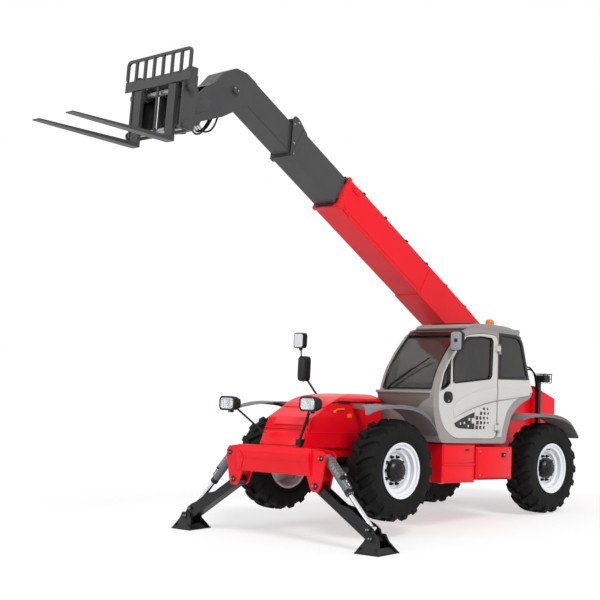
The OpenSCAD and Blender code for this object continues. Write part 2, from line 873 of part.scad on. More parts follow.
module fork_carriage() {
  color(charcoal)
    on_carriage() {
      for (s = [0, 1])
        mirror([s, 0, 0]) {
          side_plate(inner_w / 2 + 12, inner_w / 2 + 42, carriage_side);
          side_plate(430, 460, [[-325, -205], [-140, -205], [-140, 509], [-250, 509], [-325, 440]]);
          box([inner_w / 2 + 12, -160, 300], [460, -130, 420]);
          box([inner_w / 2 + 12, -160, -200], [460, -130, -100]);
          side_plate(70, 95, [[20, 230], [90, 268], [132, 335], [132, 390], [20, 420], [-180, 398],
            [-180, 338], [-130, 260]]);
        }
      bar_x(-inner_w / 2 - 52, inner_w / 2 + 52, 0, 0, 50);
      bar_x(-520, 520, -250, 260, 30);
      bar_x(-520, 520, -270, -180, 30);
      box([-460, -192, 335], [460, -166, 400]);
      box_pair([inner_w / 2 + 12, -170, 335], [460, -140, 400]);
    }
}

module load_backrest() {
  h = rest_w / 2;
  color(charcoal)
    on_carriage() {
      box([-h, -340, 320], [h, -325, 440]);
      difference() {
        front_plate(-345, -315, soft([[-h, 430], [h, 430], [h, 692], [-h, 692]], 70, 5));
        front_plate(-350, -310, soft([[-h + 32, 300], [h - 32, 300], [h - 32, 660], [-h + 32, 660]], 40, 5));
      }
      for (i = [1:6])
        translate([-h + i * (rest_w - 30) / 7, 0, 0])
          box([0, -345, 420], [30, -315, 675]);
    }
}

module one_fork() {
  difference() {
    union() {
      side_plate(-fork_w / 2, fork_w / 2, [[fork_front + fork_t, fork_low], [fork_front + fork_t, 300],
        [fork_front, 300], [fork_front, fork_low + fork_t], [tip_fwd, fork_low + 12], [tip_fwd, fork_low]]);
      side_plate(-fork_w / 2, fork_w / 2, [[-320, 190], [-250, 185], [-185, 225], [-185, 300], [-215, 325], [-320, 325]]);
    }
    bar_x(-fork_w, fork_w, -250, 260, 30 + pin_gap);
  }
}

module forks() {
  color(charcoal)
    on_carriage()
      for (s = [-1, 1])
        translate([s * fork_gap / 2, 0, 0])
          one_fork();
}

// Rod of the tilt cylinder, which runs inside the gooseneck
module tilt_rod() {
  color(steel)
    on_boom()
      translate([0, -rod_a, rod_n])
        rotate([rod_slope, 0, 0]) {
          bar_x(-64, 64, 0, 0, 45);
          bar_y(20, 900, 0, 0, tilt_rod_r);
        }
}

// Lift cylinder

module on_lift() {
  stance()
    translate([0, lift_y, lift_z])
      rotate([90 - lift_rise, 0, 0])
        children();
}

module lift_barrel() {
  color(black)
    on_lift()
      difference() {
        union() {
          translate([0, 0, 60])
            cylinder(h = 1090, r = 85);
          bar_x(-76, 76, 0, 0, 80);
          bar_x(-150, 150, 0, 0, 45);
        }
        translate([0, 0, 120])
          cylinder(h = 1100, r = 50 + pin_gap);
      }
}

module lift_rod() {
  color(steel)
    on_lift() {
      translate([0, 0, 530])
        cylinder(h = lift_len - 570, r = 50);
      translate([0, 0, lift_len])
        bar_x(-44, 44, 0, 0, 55);
    }
}

// Stabilisers, drawn on the left and mirrored for the right

// Leg coordinates: X runs along the leg from its pivot
module on_leg() {
  translate([leg_x, -leg_y, leg_z])
    rotate([0, leg_drop, 0])
      children();
}

module leg() {
  half = leg_w / 2;
  on_leg()
    difference() {
      union() {
        front_plate(-half, half, [[-60, -50], [20, -70], [leg_len - 60, -70], [leg_len + 20, -60], [leg_len + 55, 0],
          [leg_len + 20, 55], [leg_len - 20, 66], [eye_along + 50, eye_up + 44], [eye_along - 50, eye_up + 44],
          [eye_along - 130, 80], [540, 80], [420, 36], [20, 36], [-55, 30]]);
        bar_y(-half - side_gap - 24, half + side_gap + 24, 0, 0, 30);
        bar_y(-half - side_gap - 24, half + side_gap + 24, leg_len, 0, 25);
        for (s = [-1, 1])
          translate([0, s * (half + 5), 0])
            bar_y(-6, 6, eye_along, eye_up, 24);
      }
      box([120, -half + 12, -58], [leg_len - 36, half - 12, 140]);
      box([leg_len - 40, -half + 12, 28], [leg_len + 80, half - 12, 140]);
    }
}

module leg_barrel() {
  translate([cyl_x, -leg_y, cyl_z])
    rotate([0, cyl_drop, 0])
      difference() {
        union() {
          translate([40, 0, 0])
            rotate([0, 90, 0])
              cylinder(h = barrel_end - 40, r = barrel_r);
          bar_y(-barrel_r, barrel_r, 0, 0, 45);
          bar_y(-leg_w / 2 - side_gap - 24, leg_w / 2 + side_gap + 24, 0, 0, 25);
          difference() {
            box([40, -barrel_r, 52], [320, barrel_r, 60]);
            for (x = [90:44:300], y = [-28, 0, 28])
              translate([x, y, 40])
                cylinder(h = 30, r = 10);
          }
          box([40, -barrel_r, 10], [320, -barrel_r + 7, 60]);
          box([120, -30, 30], [160, 30, 55]);
        }
        translate([60, 0, 0])
          rotate([0, 90, 0])
            cylinder(h = 600, r = 30 + pin_gap);
      }
}

module leg_rod() {
  translate([cyl_x, -leg_y, cyl_z])
    rotate([0, cyl_drop, 0]) {
      translate([rod_in, 0, 0])
        rotate([0, 90, 0])
          cylinder(h = cyl_len - 30 - rod_in, r = 30);
      translate([cyl_len, 0, 0])
        bar_y(-38, 38, 0, 0, 38);
    }
}

// Foot with its plate flat on the ground
module foot() {
  half = leg_w / 2;
  edge = foot_w / 2 - 6;
  base = -foot_h + 8;
  translate([foot_x, -leg_y, foot_z])
    rotate([pitch, 0, 0])
      difference() {
        union() {
          box([-foot_w / 2, -foot_w / 2, -foot_h], [foot_w / 2, foot_w / 2, -foot_h + 16]);
          // Front and back walls, which lean in towards the pin
          difference() {
            intersection() {
              front_plate(-foot_w, foot_w, [[-edge, base], [edge, base], [edge, base + 14], [62, 48], [-62, 48], [-edge, base + 14]]);
              side_plate(-foot_w, foot_w, [[-edge, base], [edge, base], [half + side_gap + 24, -30], [half + side_gap + 24, 50],
                [-half - side_gap - 24, 50], [-half - side_gap - 24, -30]]);
            }
            side_plate(-foot_w, foot_w, [[20 - edge, base - 5], [edge - 20, base - 5], [half + side_gap, -38], [half + side_gap, 60],
              [-half - side_gap, 60], [-half - side_gap, -38]]);
          }
          // Low sloping webs between the walls
          for (s = [0, 1])
            mirror([s, 0, 0])
              front_plate(16 - edge, edge - 16, [[edge - 14, base], [edge - 2, base], [118, -92], [106, -92]]);
        }
        rotate([-pitch, 0, 0])
          bar_y(-120, 120, 0, 0, 25 + pin_gap);
      }
}

module on_right() {
  mirror([1, 0, 0])
    children();
}

module leg_left() { color(black) stance() leg(); }
module leg_right() { color(black) stance() on_right() leg(); }
module foot_left() { color(black) stance() foot(); }
module foot_right() { color(black) stance() on_right() foot(); }
module leg_barrel_left() { color(mid_grey) stance() leg_barrel(); }
module leg_barrel_right() { color(mid_grey) stance() on_right() leg_barrel(); }
module leg_rod_left() { color(steel) stance() leg_rod(); }
module leg_rod_right() { color(steel) stance() on_right() leg_rod(); }
module knuckle_fl() { color(black) stance() knuckle(1, 0); }
module knuckle_fr() { color(black) stance() knuckle(-1, 0); }
module knuckle_rl() { color(black) stance() knuckle(1, wheelbase); }
module knuckle_rr() { color(black) stance() knuckle(-1, wheelbase); }
module rim_fl() { color(silver) stance() rim(1, 0); }
module rim_fr() { color(silver) stance() rim(-1, 0); }
module rim_rl() { color(silver) stance() rim(1, wheelbase); }
module rim_rr() { color(silver) stance() rim(-1, wheelbase); }
module tyre_fl() { color(black) stance() tyre(1, 0); }
module tyre_fr() { color(black) stance() tyre(-1, 0); }
module tyre_rl() { color(black) stance() tyre(1, wheelbase); }
module tyre_rr() { color(black) stance() tyre(-1, wheelbase); }

chassis_frame();
front_beam();
nose_cover();
engine_housing();
engine_block();
engine_hood();
side_boxes();
rear_weight();
front_axle();
rear_axle();
fenders();
cab_shell();
cab_roof();
cab_glass();
cab_door();
door_glass();
operator_seat();
dash_console();
beacon();
headlamps();
mirrors();
rear_lamps();
boom_outer();
boom_mid();
boom_inner();
fork_carriage();
load_backrest();
forks();
tilt_rod();
lift_barrel();
lift_rod();
leg_left();
leg_right();
foot_left();
foot_right();
leg_barrel_left();
leg_barrel_right();
leg_rod_left();
leg_rod_right();
knuckle_fl();
knuckle_fr();
knuckle_rl();
knuckle_rr();
rim_fl();
rim_fr();
rim_rl();
rim_rr();
tyre_fl();
tyre_fr();
tyre_rl();
tyre_rr();
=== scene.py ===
import math

import bmesh
import bpy
from mathutils import Matrix, Vector


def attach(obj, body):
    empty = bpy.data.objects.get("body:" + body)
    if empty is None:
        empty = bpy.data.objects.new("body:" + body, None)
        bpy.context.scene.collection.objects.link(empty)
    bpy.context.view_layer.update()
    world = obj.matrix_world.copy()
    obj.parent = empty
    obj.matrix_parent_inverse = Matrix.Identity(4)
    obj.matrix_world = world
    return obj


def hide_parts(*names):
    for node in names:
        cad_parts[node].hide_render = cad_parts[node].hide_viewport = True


bl_info = {
    "name": "Telehandler looks",
    "version": (1, 0, 0),
    "blender": (4, 5, 0),
    "location": "View3D > Sidebar > Telehandler",
    "description": "Finishes and fittings of a telescopic handler on its front stabilisers",
    "category": "Add Mesh",
}

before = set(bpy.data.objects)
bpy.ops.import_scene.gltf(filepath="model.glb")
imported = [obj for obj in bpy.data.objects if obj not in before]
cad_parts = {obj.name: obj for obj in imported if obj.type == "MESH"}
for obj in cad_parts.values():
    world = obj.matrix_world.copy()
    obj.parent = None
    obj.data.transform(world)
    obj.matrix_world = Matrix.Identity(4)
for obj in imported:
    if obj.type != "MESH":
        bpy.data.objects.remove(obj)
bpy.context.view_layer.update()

# Chassis coordinates in metres: X to the cab side, Y back from the front axle, Z up from the level ground.
WHEELBASE = 3.15
AXLE_Z = 0.612
HALF_TRACK = 0.95
TYRE_HALF = 0.2
PITCH = math.radians(3.7)
# Middle of the machine's length, which is the frame's origin
MID_Y = 0.111058
CAB_IN, CAB_OUT = 0.27, 1.15
STANCE = (Matrix.Translation((0, WHEELBASE - MID_Y, AXLE_Z)) @ Matrix.Rotation(-PITCH, 4, "X")
          @ Matrix.Translation((0, -WHEELBASE, -AXLE_Z)))
WHEELS = {"fl": (1, 0), "fr": (-1, 0), "rl": (1, WHEELBASE), "rr": (-1, WHEELBASE)}
MIRROR = Matrix.Diagonal((-1, 1, 1, 1))

# Boom coordinates: from the pivot, forward is -Y along the boom.
BOOM_ANGLE = math.radians(30.8)
BOOM_PIVOT = Vector((0, 3.35, 1.83))
BOOM = STANCE @ Matrix.Translation(BOOM_PIVOT) @ Matrix.Rotation(-BOOM_ANGLE, 4, "X")
OUTER_TOP, OUTER_LOW = 0.298, -0.132
MID_TOP, MID_LOW = 0.272, -0.106

# Carriage coordinates: from the tilt pin, forward is -Y along the forks.
FORK_TILT = math.radians(3.5)
TILT_A, TILT_N = 6.593, -0.833
TILT_PIN = Vector((0, BOOM_PIVOT.y - TILT_A * math.cos(BOOM_ANGLE) + TILT_N * math.sin(BOOM_ANGLE),
                   BOOM_PIVOT.z + TILT_A * math.sin(BOOM_ANGLE) + TILT_N * math.cos(BOOM_ANGLE)))
CARRIAGE = STANCE @ Matrix.Translation(TILT_PIN) @ Matrix.Rotation(-FORK_TILT, 4, "X")

# Pins of the left stabiliser
LEG_Y = -0.93
LEG_PIN = Vector((0.7, LEG_Y, 0.42))
BARREL_PIN = Vector((0.78, LEG_Y, 0.745))
FOOT_X, FOOT_HEIGHT = 1.58, 0.165
FOOT_Z = AXLE_Z + (FOOT_HEIGHT - AXLE_Z + (LEG_Y - WHEELBASE) * math.sin(PITCH)) / math.cos(PITCH)
LEG_DROP = math.atan2(LEG_PIN.z - FOOT_Z, FOOT_X - LEG_PIN.x)
LEG_LENGTH = math.hypot(FOOT_X - LEG_PIN.x, LEG_PIN.z - FOOT_Z)
BARREL_LENGTH = 0.5486
# Eye of the rod: back from the foot pin and up from the line of the leg
EYE_BACK, EYE_UP = 0.1, 0.05

# Camera that was fitted to the photo: place in metres, angles, focal length and width in pixels, sensor in millimetres
CAMERA_AT = (11.391, -12.191, 2.34)
CAMERA_YAW, CAMERA_TIP, CAMERA_ROLL = math.radians(44.62), math.radians(1.9), math.radians(-0.63)
FOCAL, PICTURE, SENSOR = 1322.6, 600, 36


# Shapes

def transformed(bm, matrix):
    """Moves a whole bmesh and keeps its faces outwards when the matrix mirrors it."""
    bmesh.ops.transform(bm, matrix=matrix, verts=bm.verts)
    if matrix.determinant() < 0:
        bmesh.ops.reverse_faces(bm, faces=bm.faces)
    return bm


def join(bm, part, material=0):
    """Adds a finished shape to a bmesh, with the number of its finish."""
    for f in part.faces:
        f.material_index = material
    mesh = bpy.data.meshes.new("part")
    part.to_mesh(mesh)
    part.free()
    bm.from_mesh(mesh)
    bpy.data.meshes.remove(mesh)


def rounded(part, offset):
    """Rounds every edge of a shape."""
    bmesh.ops.bevel(part, geom=part.edges[:], offset=offset, offset_type="OFFSET", segments=2, profile=0.5,
        affect="EDGES", material=-1, clamp_overlap=True)


def block(bm, low, high, round_edge=0.0, material=0, turn=None):
    """Adds a box between two corners, with rounded edges."""
    low, high = Vector(low), Vector(high)
    part = bmesh.new()
    bmesh.ops.create_cube(part, size=1)
    bmesh.ops.scale(part, vec=high - low, verts=part.verts)
    if round_edge:
        rounded(part, round_edge)
    if turn is not None:
        bmesh.ops.transform(part, matrix=turn, verts=part.verts)
    bmesh.ops.translate(part, vec=(low + high) / 2, verts=part.verts)
    join(bm, part, material)


def rod(bm, start, end, radius, sides=20, material=0):
    """Adds a round bar between two points."""
    start, end = Vector(start), Vector(end)
    part = bmesh.new()
    bmesh.ops.create_cone(part, cap_ends=True, segments=sides, radius1=radius, radius2=radius,
        depth=(end - start).length)
    bmesh.ops.transform(part, matrix=Matrix.Translation((start + end) / 2) @ (end - start).to_track_quat("Z",
        "Y").to_matrix().to_4x4(), verts=part.verts)
    join(bm, part, material)


def plate(bm, outline, depth, round_edge=0.0, material=0):
    """Adds a plate: a flat outline of points, thickened along a vector."""
    part = bmesh.new()
    face = part.faces.new([part.verts.new(p) for p in outline])
    made = bmesh.ops.extrude_face_region(part, geom=[face])["geom"]
    bmesh.ops.translate(part, vec=Vector(depth), verts=[v for v in made if isinstance(v, bmesh.types.BMVert)])
    bmesh.ops.recalc_face_normals(part, faces=part.faces)
    if round_edge:
        rounded(part, round_edge)
    join(bm, part, material)


def lathe(bm, profile, centre, axis, steps=48, material=0):
    """Adds a turned piece: pairs of (radius, height) spun about an axis."""
    part = bmesh.new()
    place = Matrix.Translation(centre) @ Vector(axis).to_track_quat("Z", "Y").to_matrix().to_4x4()
    verts = [part.verts.new(place @ Vector((r, 0, h))) for r, h in profile]
    edges = [part.edges.new(pair) for pair in zip(verts, verts[1:])]
    bmesh.ops.spin(part, geom=verts + edges, cent=centre, axis=Vector(axis).normalized(), dvec=(0, 0, 0),
        angle=2 * math.pi, steps=steps, use_merge=True, use_duplicate=False)
    bmesh.ops.remove_doubles(part, verts=part.verts, dist=1e-5)
    bmesh.ops.recalc_face_normals(part, faces=part.faces)
    join(bm, part, material)


def run(bm, points, radius, material=0, smooth=True):
    """Adds a pipe, hose or seal along points."""
    curve = bpy.data.curves.new("run", "CURVE")
    curve.dimensions = "3D"
    curve.bevel_depth = radius
    curve.bevel_resolution = 3
    curve.use_fill_caps = True
    closed = (Vector(points[0]) - Vector(points[-1])).length < 1e-6
    points = points[:-1] if closed else points
    spline = curve.splines.new("NURBS" if smooth else "POLY")
    spline.points.add(len(points) - 1)
    for p, q in zip(spline.points, points):
        p.co = (*q, 1)
    spline.use_cyclic_u = closed
    spline.use_endpoint_u = True
    spline.order_u = min(4, len(points))
    spline.resolution_u = 8
    obj = bpy.data.objects.new("run", curve)
    bpy.context.scene.collection.objects.link(obj)
    mesh = bpy.data.meshes.new_from_object(obj.evaluated_get(bpy.context.evaluated_depsgraph_get()))
    part = bmesh.new()
    part.from_mesh(mesh)
    join(bm, part, material)
    bpy.data.objects.remove(obj)
    bpy.data.curves.remove(curve)
    bpy.data.meshes.remove(mesh)


def bolt(bm, at, axis, size, material=0):
    """Adds a hexagon bolt head on its washer; size is the head's radius."""
    at, axis = Vector(at), Vector(axis).normalized()
    rod(bm, at - axis * size * 0.2, at + axis * size * 0.25, size * 1.35, 16, material)
    rod(bm, at, at + axis * size * 0.95, size, 6, material)
    rod(bm, at, at + axis * size * 1.1, size * 0.55, 10, material)


def piece(name, bm, body, finishes, matrix=STANCE, sharp=35):
    """Places a bmesh, gives it its finishes and lets it ride on its body."""
    transformed(bm, matrix)
    mesh = bpy.data.meshes.new(name)
    bm.to_mesh(mesh)
    bm.free()
    for finish in finishes if isinstance(finishes, (list, tuple)) else [finishes]:
        mesh.materials.append(FINISH[finish])
    mesh.shade_smooth()
    mesh.set_sharp_from_angle(angle=math.radians(sharp))
    obj = bpy.data.objects.new(name, mesh)
    bpy.context.scene.collection.objects.link(obj)
    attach(obj, body)
    return obj


# Finishes

FINISH = {}


def linear(hexa):
    """Linear colour of an sRGB hex value."""
    parts = [int(hexa[i:i + 2], 16) / 255 for i in (1, 3, 5)]
    return [*(c / 12.92 if c <= 0.04045 else ((c + 0.055) / 1.055) ** 2.4 for c in parts), 1.0]


def add(tree, kind, inputs=(), **settings):
    """Adds one node; inputs pairs a socket with a value or with a socket to link."""
    made = tree.nodes.new(kind)
    for key, value in settings.items():
        setattr(made, key, value)
    for key, value in inputs:
        if isinstance(value, bpy.types.NodeSocket):
            tree.links.new(value, made.inputs[key])
        else:
            made.inputs[key].default_value = value
    return made


def blank(name):
    """A new finish with its shader and object coordinates."""
    mat = bpy.data.materials.new(name)
    mat.use_nodes = True
    tree = mat.node_tree
    tree.nodes.clear()
    shader = add(tree, "ShaderNodeBsdfPrincipled")
    add(tree, "ShaderNodeOutputMaterial", [("Surface", shader.outputs[0])])
    place = add(tree, "ShaderNodeTexCoord").outputs["Object"]
    FINISH[name] = mat
    return tree, shader, place


def coated(name, base, shade, dust, rough, coat=0.0, metallic=0.0, grain=0.004, relief=0.04, low=0.9, spread=0.15,
        gloss=0.4, sockets=()):
    """A sprayed or moulded coat: two close tones in broad patches, fine relief, and dust that settles low down.

    grain is the size of the relief in metres, and low the height in metres under which dust shows. sockets pairs
    further sockets of the shader with their values.
    """
    tree, shader, place = blank(name)
    patch = add(tree, "ShaderNodeTexNoise", [("Vector", place), ("Scale", 1.7), ("Detail", 5.0), ("Roughness", 0.6)])
    tone = add(tree, "ShaderNodeMix", [(0, patch.outputs[0]), (6, linear(base)), (7, linear(shade))],
        data_type="RGBA")
    height = add(tree, "ShaderNodeSeparateXYZ", [(0, place)])
    fall = add(tree, "ShaderNodeMapRange", [(0, height.outputs[2]), (1, 0.0), (2, low), (3, 1.0), (4, 0.12)])
    specks = add(tree, "ShaderNodeTexNoise", [("Vector", place), ("Scale", 38.0), ("Detail", 6.0),
        ("Roughness", 0.7)])
    film = add(tree, "ShaderNodeMapRange", [(0, specks.outputs[0]), (1, 0.42), (2, 0.75), (3, 0.0), (4, spread)])
    amount = add(tree, "ShaderNodeMath", [(0, fall.outputs[0]), (1, film.outputs[0])], operation="MULTIPLY")
    dusty = add(tree, "ShaderNodeMix", [(0, amount.outputs[0]), (6, tone.outputs[2]), (7, linear(dust))],
        data_type="RGBA")
    tree.links.new(dusty.outputs[2], shader.inputs["Base Color"])
    sheen = add(tree, "ShaderNodeMapRange", [(0, patch.outputs[0]), (1, 0.3), (2, 0.7), (3, rough - 0.04),
        (4, rough + 0.06)])
    tree.links.new(sheen.outputs[0], shader.inputs["Roughness"])
    peel = add(tree, "ShaderNodeTexNoise", [("Vector", place), ("Scale", 1 / grain), ("Detail", 2.0)])
    bump = add(tree, "ShaderNodeBump", [("Height", peel.outputs[0]), ("Strength", relief), ("Distance", 0.002)])
    tree.links.new(bump.outputs[0], shader.inputs["Normal"])
    for key, value in (("Metallic", metallic), ("Specular IOR Level", gloss), ("Coat Weight", coat),
            ("Coat Roughness", 0.08), *sockets):
        shader.inputs[key].default_value = value
    return tree, shader, place


def clear(amount, ior=None):
    """Sockets of a finish that light passes through."""
    return [("Transmission Weight", amount), *([("IOR", ior)] if ior else [])]


def painted_glow(colour, strength):
    """Sockets of a finish that shines a little by itself: a painted glow that stands in for daylight caught or
    reflected in it.
    """
    return [("Emission Color", linear(colour)), ("Emission Strength", strength)]


def make_finishes(look):
    """Every finish of the machine."""
    # Sprayed red enamel: deep and even, with a clear gloss and a faint orange peel.
    coated("red_enamel", look.red, "#d20617", "#b9735f", 0.32, coat=0.12, spread=0.08, gloss=0.14)
    # Lighter red of the grip panel on the nose, a pressed film with a dull sheen; its lighter tone is partly a painted
    # highlight of the sloping top.
    coated("red_film_painted_highlight", "#e42232", "#da1a2a", "#c99087", 0.45, grain=0.006, relief=0.1, gloss=0.3)
    # Sprayed charcoal enamel of the inner sections and the carriage.
    coated("charcoal_enamel", look.charcoal, "#333234", "#6a655f", 0.42, coat=0.08, gloss=0.3)
    # Black enamel of legs, axles and brackets, dusted near the ground.
    coated("black_enamel", "#0c0c0e", "#08080a", "#443f3a", 0.36, coat=0.1, gloss=0.25)
    # Pale warm-grey enamel of door and rear panel.
    coated("cab_grey_enamel", look.cab, "#b1afac", "#9c968f", 0.36, coat=0.3)
    # Taupe moulded surround of the cab.
    coated("cab_taupe", "#8c8784", "#807b78", "#9c948a", 0.45, grain=0.0015, relief=0.06)
    # Brownish cowl under the windscreen.
    coated("cowl_brown", "#6b605b", "#5f5550", "#8c8178", 0.48, grain=0.0015, relief=0.06)
    # Black fired border of the glass and the door's graphic, smooth and glossy.
    coated("glass_border", "#161617", "#101011", "#3a3835", 0.16, grain=0.2, relief=0.004, spread=0.05)
    # Moulded grey plastic of the mudguards, a fine leather-like grain.
    coated("guard_grey", "#6f6e6e", "#636263", "#968d82", 0.55, grain=0.0014, relief=0.12)
    # Moulded black plastic with a fine grain.
    coated("black_plastic", "#141415", "#0e0e0f", "#4c4741", 0.5, grain=0.0012, relief=0.1, gloss=0.3)
    # Rubber hose and seals, dull black.
    coated("hose_rubber", "#101010", "#0b0b0b", "#403b36", 0.62, grain=0.002, relief=0.08, gloss=0.25)
    # Tyre rubber: nearly black, dull, with fine dust in patches.
    coated("tyre_rubber", "#0b0b0a", "#070706", "#3d3832", 0.7, grain=0.003, relief=0.12, low=1.3, spread=0.14,
        gloss=0.18)
    # Silver wheel enamel with a metallic flake.
    coated("rim_silver", "#e4e6ea", "#d6d8dc", "#a79d92", 0.34, coat=0.35, metallic=0.25, low=1.1, spread=0.2)
    # Grey enamel of the cylinder barrels.
    coated("barrel_grey", "#5c6167", "#50555b", "#8a8278", 0.42, coat=0.15)
    # Zinc-plated sheet: pale grey with soft crystal patches.
    coated("zinc_sheet", "#8e9194", "#7b7e82", "#968d82", 0.42, metallic=0.7, grain=0.012, relief=0.03)
    # Hard-chromed rod: bright, nearly mirror smooth.
    coated("chrome_rod", "#d9dbde", "#cfd2d6", "#a9a49d", 0.1, metallic=1.0, grain=0.02, relief=0.005, spread=0.05)
    # Zinc-plated bolts and pipes.
    coated("plated_steel", "#a9abad", "#979a9d", "#8d857b", 0.34, metallic=0.9, grain=0.006, relief=0.02)
    # Cast iron of the engine, dark and sandy.
    coated("cast_iron", "#3b3c3e", "#303133", "#6d645a", 0.6, metallic=0.3, grain=0.0025, relief=0.2)
    # Forged fork steel under worn charcoal paint.
    coated("fork_steel", "#403f40", "#343335", "#6f6963", 0.42, metallic=0.3, grain=0.01, relief=0.05)
    # Mirror glass.
    coated("mirror_glass", "#dfe3e6", "#d5dade", "#c7c9ca", 0.04, metallic=1.0, grain=0.05, relief=0.002, spread=0.02)
    # Reflector bowl behind the lamp lens, bright by itself: a faint painted glow that stands in for the light it
    # reflects.
    coated("lamp_bowl", "#e4e6e8", "#cfd2d5", "#c0bdb8", 0.16, metallic=0.9, grain=0.012, relief=0.25, spread=0.02,
        sockets=painted_glow("#ffffff", 0.3))
    # Clear moulded lamp lens.
    coated("lamp_lens", "#eef1f3", "#e2e6e9", "#cfcac2", 0.06, grain=0.01, relief=0.3, spread=0.02,
        sockets=clear(0.85, 1.49))
    # Amber moulded lens, ribbed inside, with a faint painted glow that stands in for daylight in it.
    coated("amber_lens", "#f08a12", "#e07a08", "#c99a6a", 0.14, grain=0.008, relief=0.25, spread=0.05,
        sockets=clear(0.35) + painted_glow("#e07808", 0.12))
    # Red moulded tail lens.
    coated("red_lens", "#a8060c", "#8c0408", "#8a5a50", 0.14, grain=0.008, relief=0.25, spread=0.05,
        sockets=clear(0.25))
    # Tinted safety glass: brownish grey, smooth, with a thin film of dust.
    coated("tinted_glass", look.glass, "#77746f", "#8d8a84", 0.05, grain=0.2, relief=0.004, spread=0.04,
        sockets=clear(0.92, 1.45))
    # Side glass: the tinted glass made darker, painted shade for the dim cab seen through it.
    coated("side_glass_painted_shade", "#55534f", "#484642", "#8d8a84", 0.05, grain=0.2, relief=0.004, spread=0.04,
        sockets=clear(0.9, 1.45))
    # Grey moulded back of the cab mirror.
    coated("mirror_grey", "#8a8d93", "#7e8187", "#a2988a", 0.5, grain=0.0014, relief=0.1)
    # Woven seat cloth: dark threads about 3 mm apart, drawn coarse enough to show.
    tree, shader, place = coated("seat_cloth", "#2a2b2e", "#1f2022", "#4a4640", 0.85, grain=0.003, relief=0.15,
        spread=0.05, sockets=[("Sheen Weight", 0.4)])
    weave = add(tree, "ShaderNodeTexChecker", [("Vector", place), ("Scale", 330.0)])
    cloth = add(tree, "ShaderNodeBump", [("Height", weave.outputs[1]), ("Strength", 0.35), ("Distance", 0.001)])
    tree.links.new(cloth.outputs[0], shader.inputs["Normal"])


NODE_FINISH = {
    "red_enamel": ["chassis_frame", "front_beam", "nose_cover", "engine_housing", "engine_hood", "side_boxes",
                   "rear_weight", "boom_outer"],
    "charcoal_enamel": ["boom_mid", "boom_inner", "fork_carriage", "load_backrest"],
    "fork_steel": ["forks"],
    "black_enamel": ["front_axle", "rear_axle", "leg_left", "leg_right", "foot_left", "foot_right", "lift_barrel",
                     "headlamps", "knuckle_fl", "knuckle_fr", "knuckle_rl", "knuckle_rr"],
    "cab_taupe": ["cab_shell", "cab_roof"],
    "cab_grey_enamel": ["cab_door"],
    "guard_grey": ["fenders"],
    "tinted_glass": ["cab_glass"],
    "side_glass_painted_shade": ["door_glass"],
    "black_plastic": ["dash_console", "mirrors", "rear_lamps"],
    "seat_cloth": ["operator_seat"],
    "amber_lens": ["beacon"],
    "cast_iron": ["engine_block"],
    "chrome_rod": ["tilt_rod", "lift_rod", "leg_rod_left", "leg_rod_right"],
    "barrel_grey": ["leg_barrel_left", "leg_barrel_right"],
    "rim_silver": ["rim_fl", "rim_fr", "rim_rl", "rim_rr"],
    "tyre_rubber": ["tyre_fl", "tyre_fr", "tyre_rl", "tyre_rr"],
}
EDGE_ROUND = {"cab_shell": 0.012, "cab_roof": 0.018, "cab_door": 0.01, "nose_cover": 0.018, "engine_hood": 0.02,
    "side_boxes": 0.01, "rear_weight": 0.02, "boom_outer": 0.012, "boom_mid": 0.01, "boom_inner": 0.012,
    "front_beam": 0.008, "fenders": 0.006, "leg_left": 0.008, "leg_right": 0.008}
SMOOTH_NODES = ("rim_fl", "rim_fr", "rim_rl", "rim_rr", "cab_glass", "door_glass")


class TelehandlerLook(bpy.types.PropertyGroup):
    """Colours and sizes that a user would change."""
    red: bpy.props.StringProperty(name="Red", description="Hex colour of the red enamel", default="#e2081b")
    charcoal: bpy.props.StringProperty(name="Charcoal", description="Hex colour of the inner boom sections",
        default="#403f40")
    cab: bpy.props.StringProperty(name="Cab grey", description="Hex colour of door and rear panel", default="#bdbbb7")
    glass: bpy.props.StringProperty(name="Glass", description="Hex colour of the tinted glass", default="#8a8782")
    lugs: bpy.props.IntProperty(name="Lugs", description="Lugs on each half of a tyre", default=18, min=12, max=24)
    lug_height: bpy.props.FloatProperty(name="Lug height", description="Height of a lug", default=0.036,
        unit="LENGTH")
    pipe_radius: bpy.props.FloatProperty(name="Boom pipe", description="Radius of the pipes on the boom",
        default=0.013, unit="LENGTH")


class TELE_OT_finishes(bpy.types.Operator):
    """Gives every solid its finish and softens its edges"""
    bl_idname = "telehandler.finishes"
    bl_label = "Finishes"

    def execute(self, context):
        make_finishes(context.scene.telehandler)
        for finish, names in NODE_FINISH.items():
            for name in names:
                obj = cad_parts[name]
                obj.data.materials.clear()
                obj.data.materials.append(FINISH[finish])
                if name in SMOOTH_NODES:
                    continue
                weld = obj.modifiers.new("weld", "WELD")
                weld.merge_threshold = 0.00002
                flat = obj.modifiers.new("flat", "DECIMATE")
                flat.decimate_type = "DISSOLVE"
                flat.angle_limit = math.radians(0.5)
                edge = obj.modifiers.new("edge", "BEVEL")
                edge.width = EDGE_ROUND.get(name, 0.004)
                edge.segments = 2
                edge.limit_method = "ANGLE"
                edge.angle_limit = math.radians(38)
                edge.use_clamp_overlap = True
                edge.harden_normals = False
        return {"FINISHED"}


def seen_by_eye(tree):
    """A socket that is 1 for what the camera sees, also in gloss and through glass, and 0 for light on matt faces."""
    path = add(tree, "ShaderNodeLightPath").outputs
    eye = add(tree, "ShaderNodeMath", [(0, path["Is Camera Ray"]), (1, path["Is Transmission Ray"])],
        operation="MAXIMUM")
    eye = add(tree, "ShaderNodeMath", [(0, eye.outputs[0]), (1, path["Is Glossy Ray"])], operation="MAXIMUM")
    return eye.outputs[0]


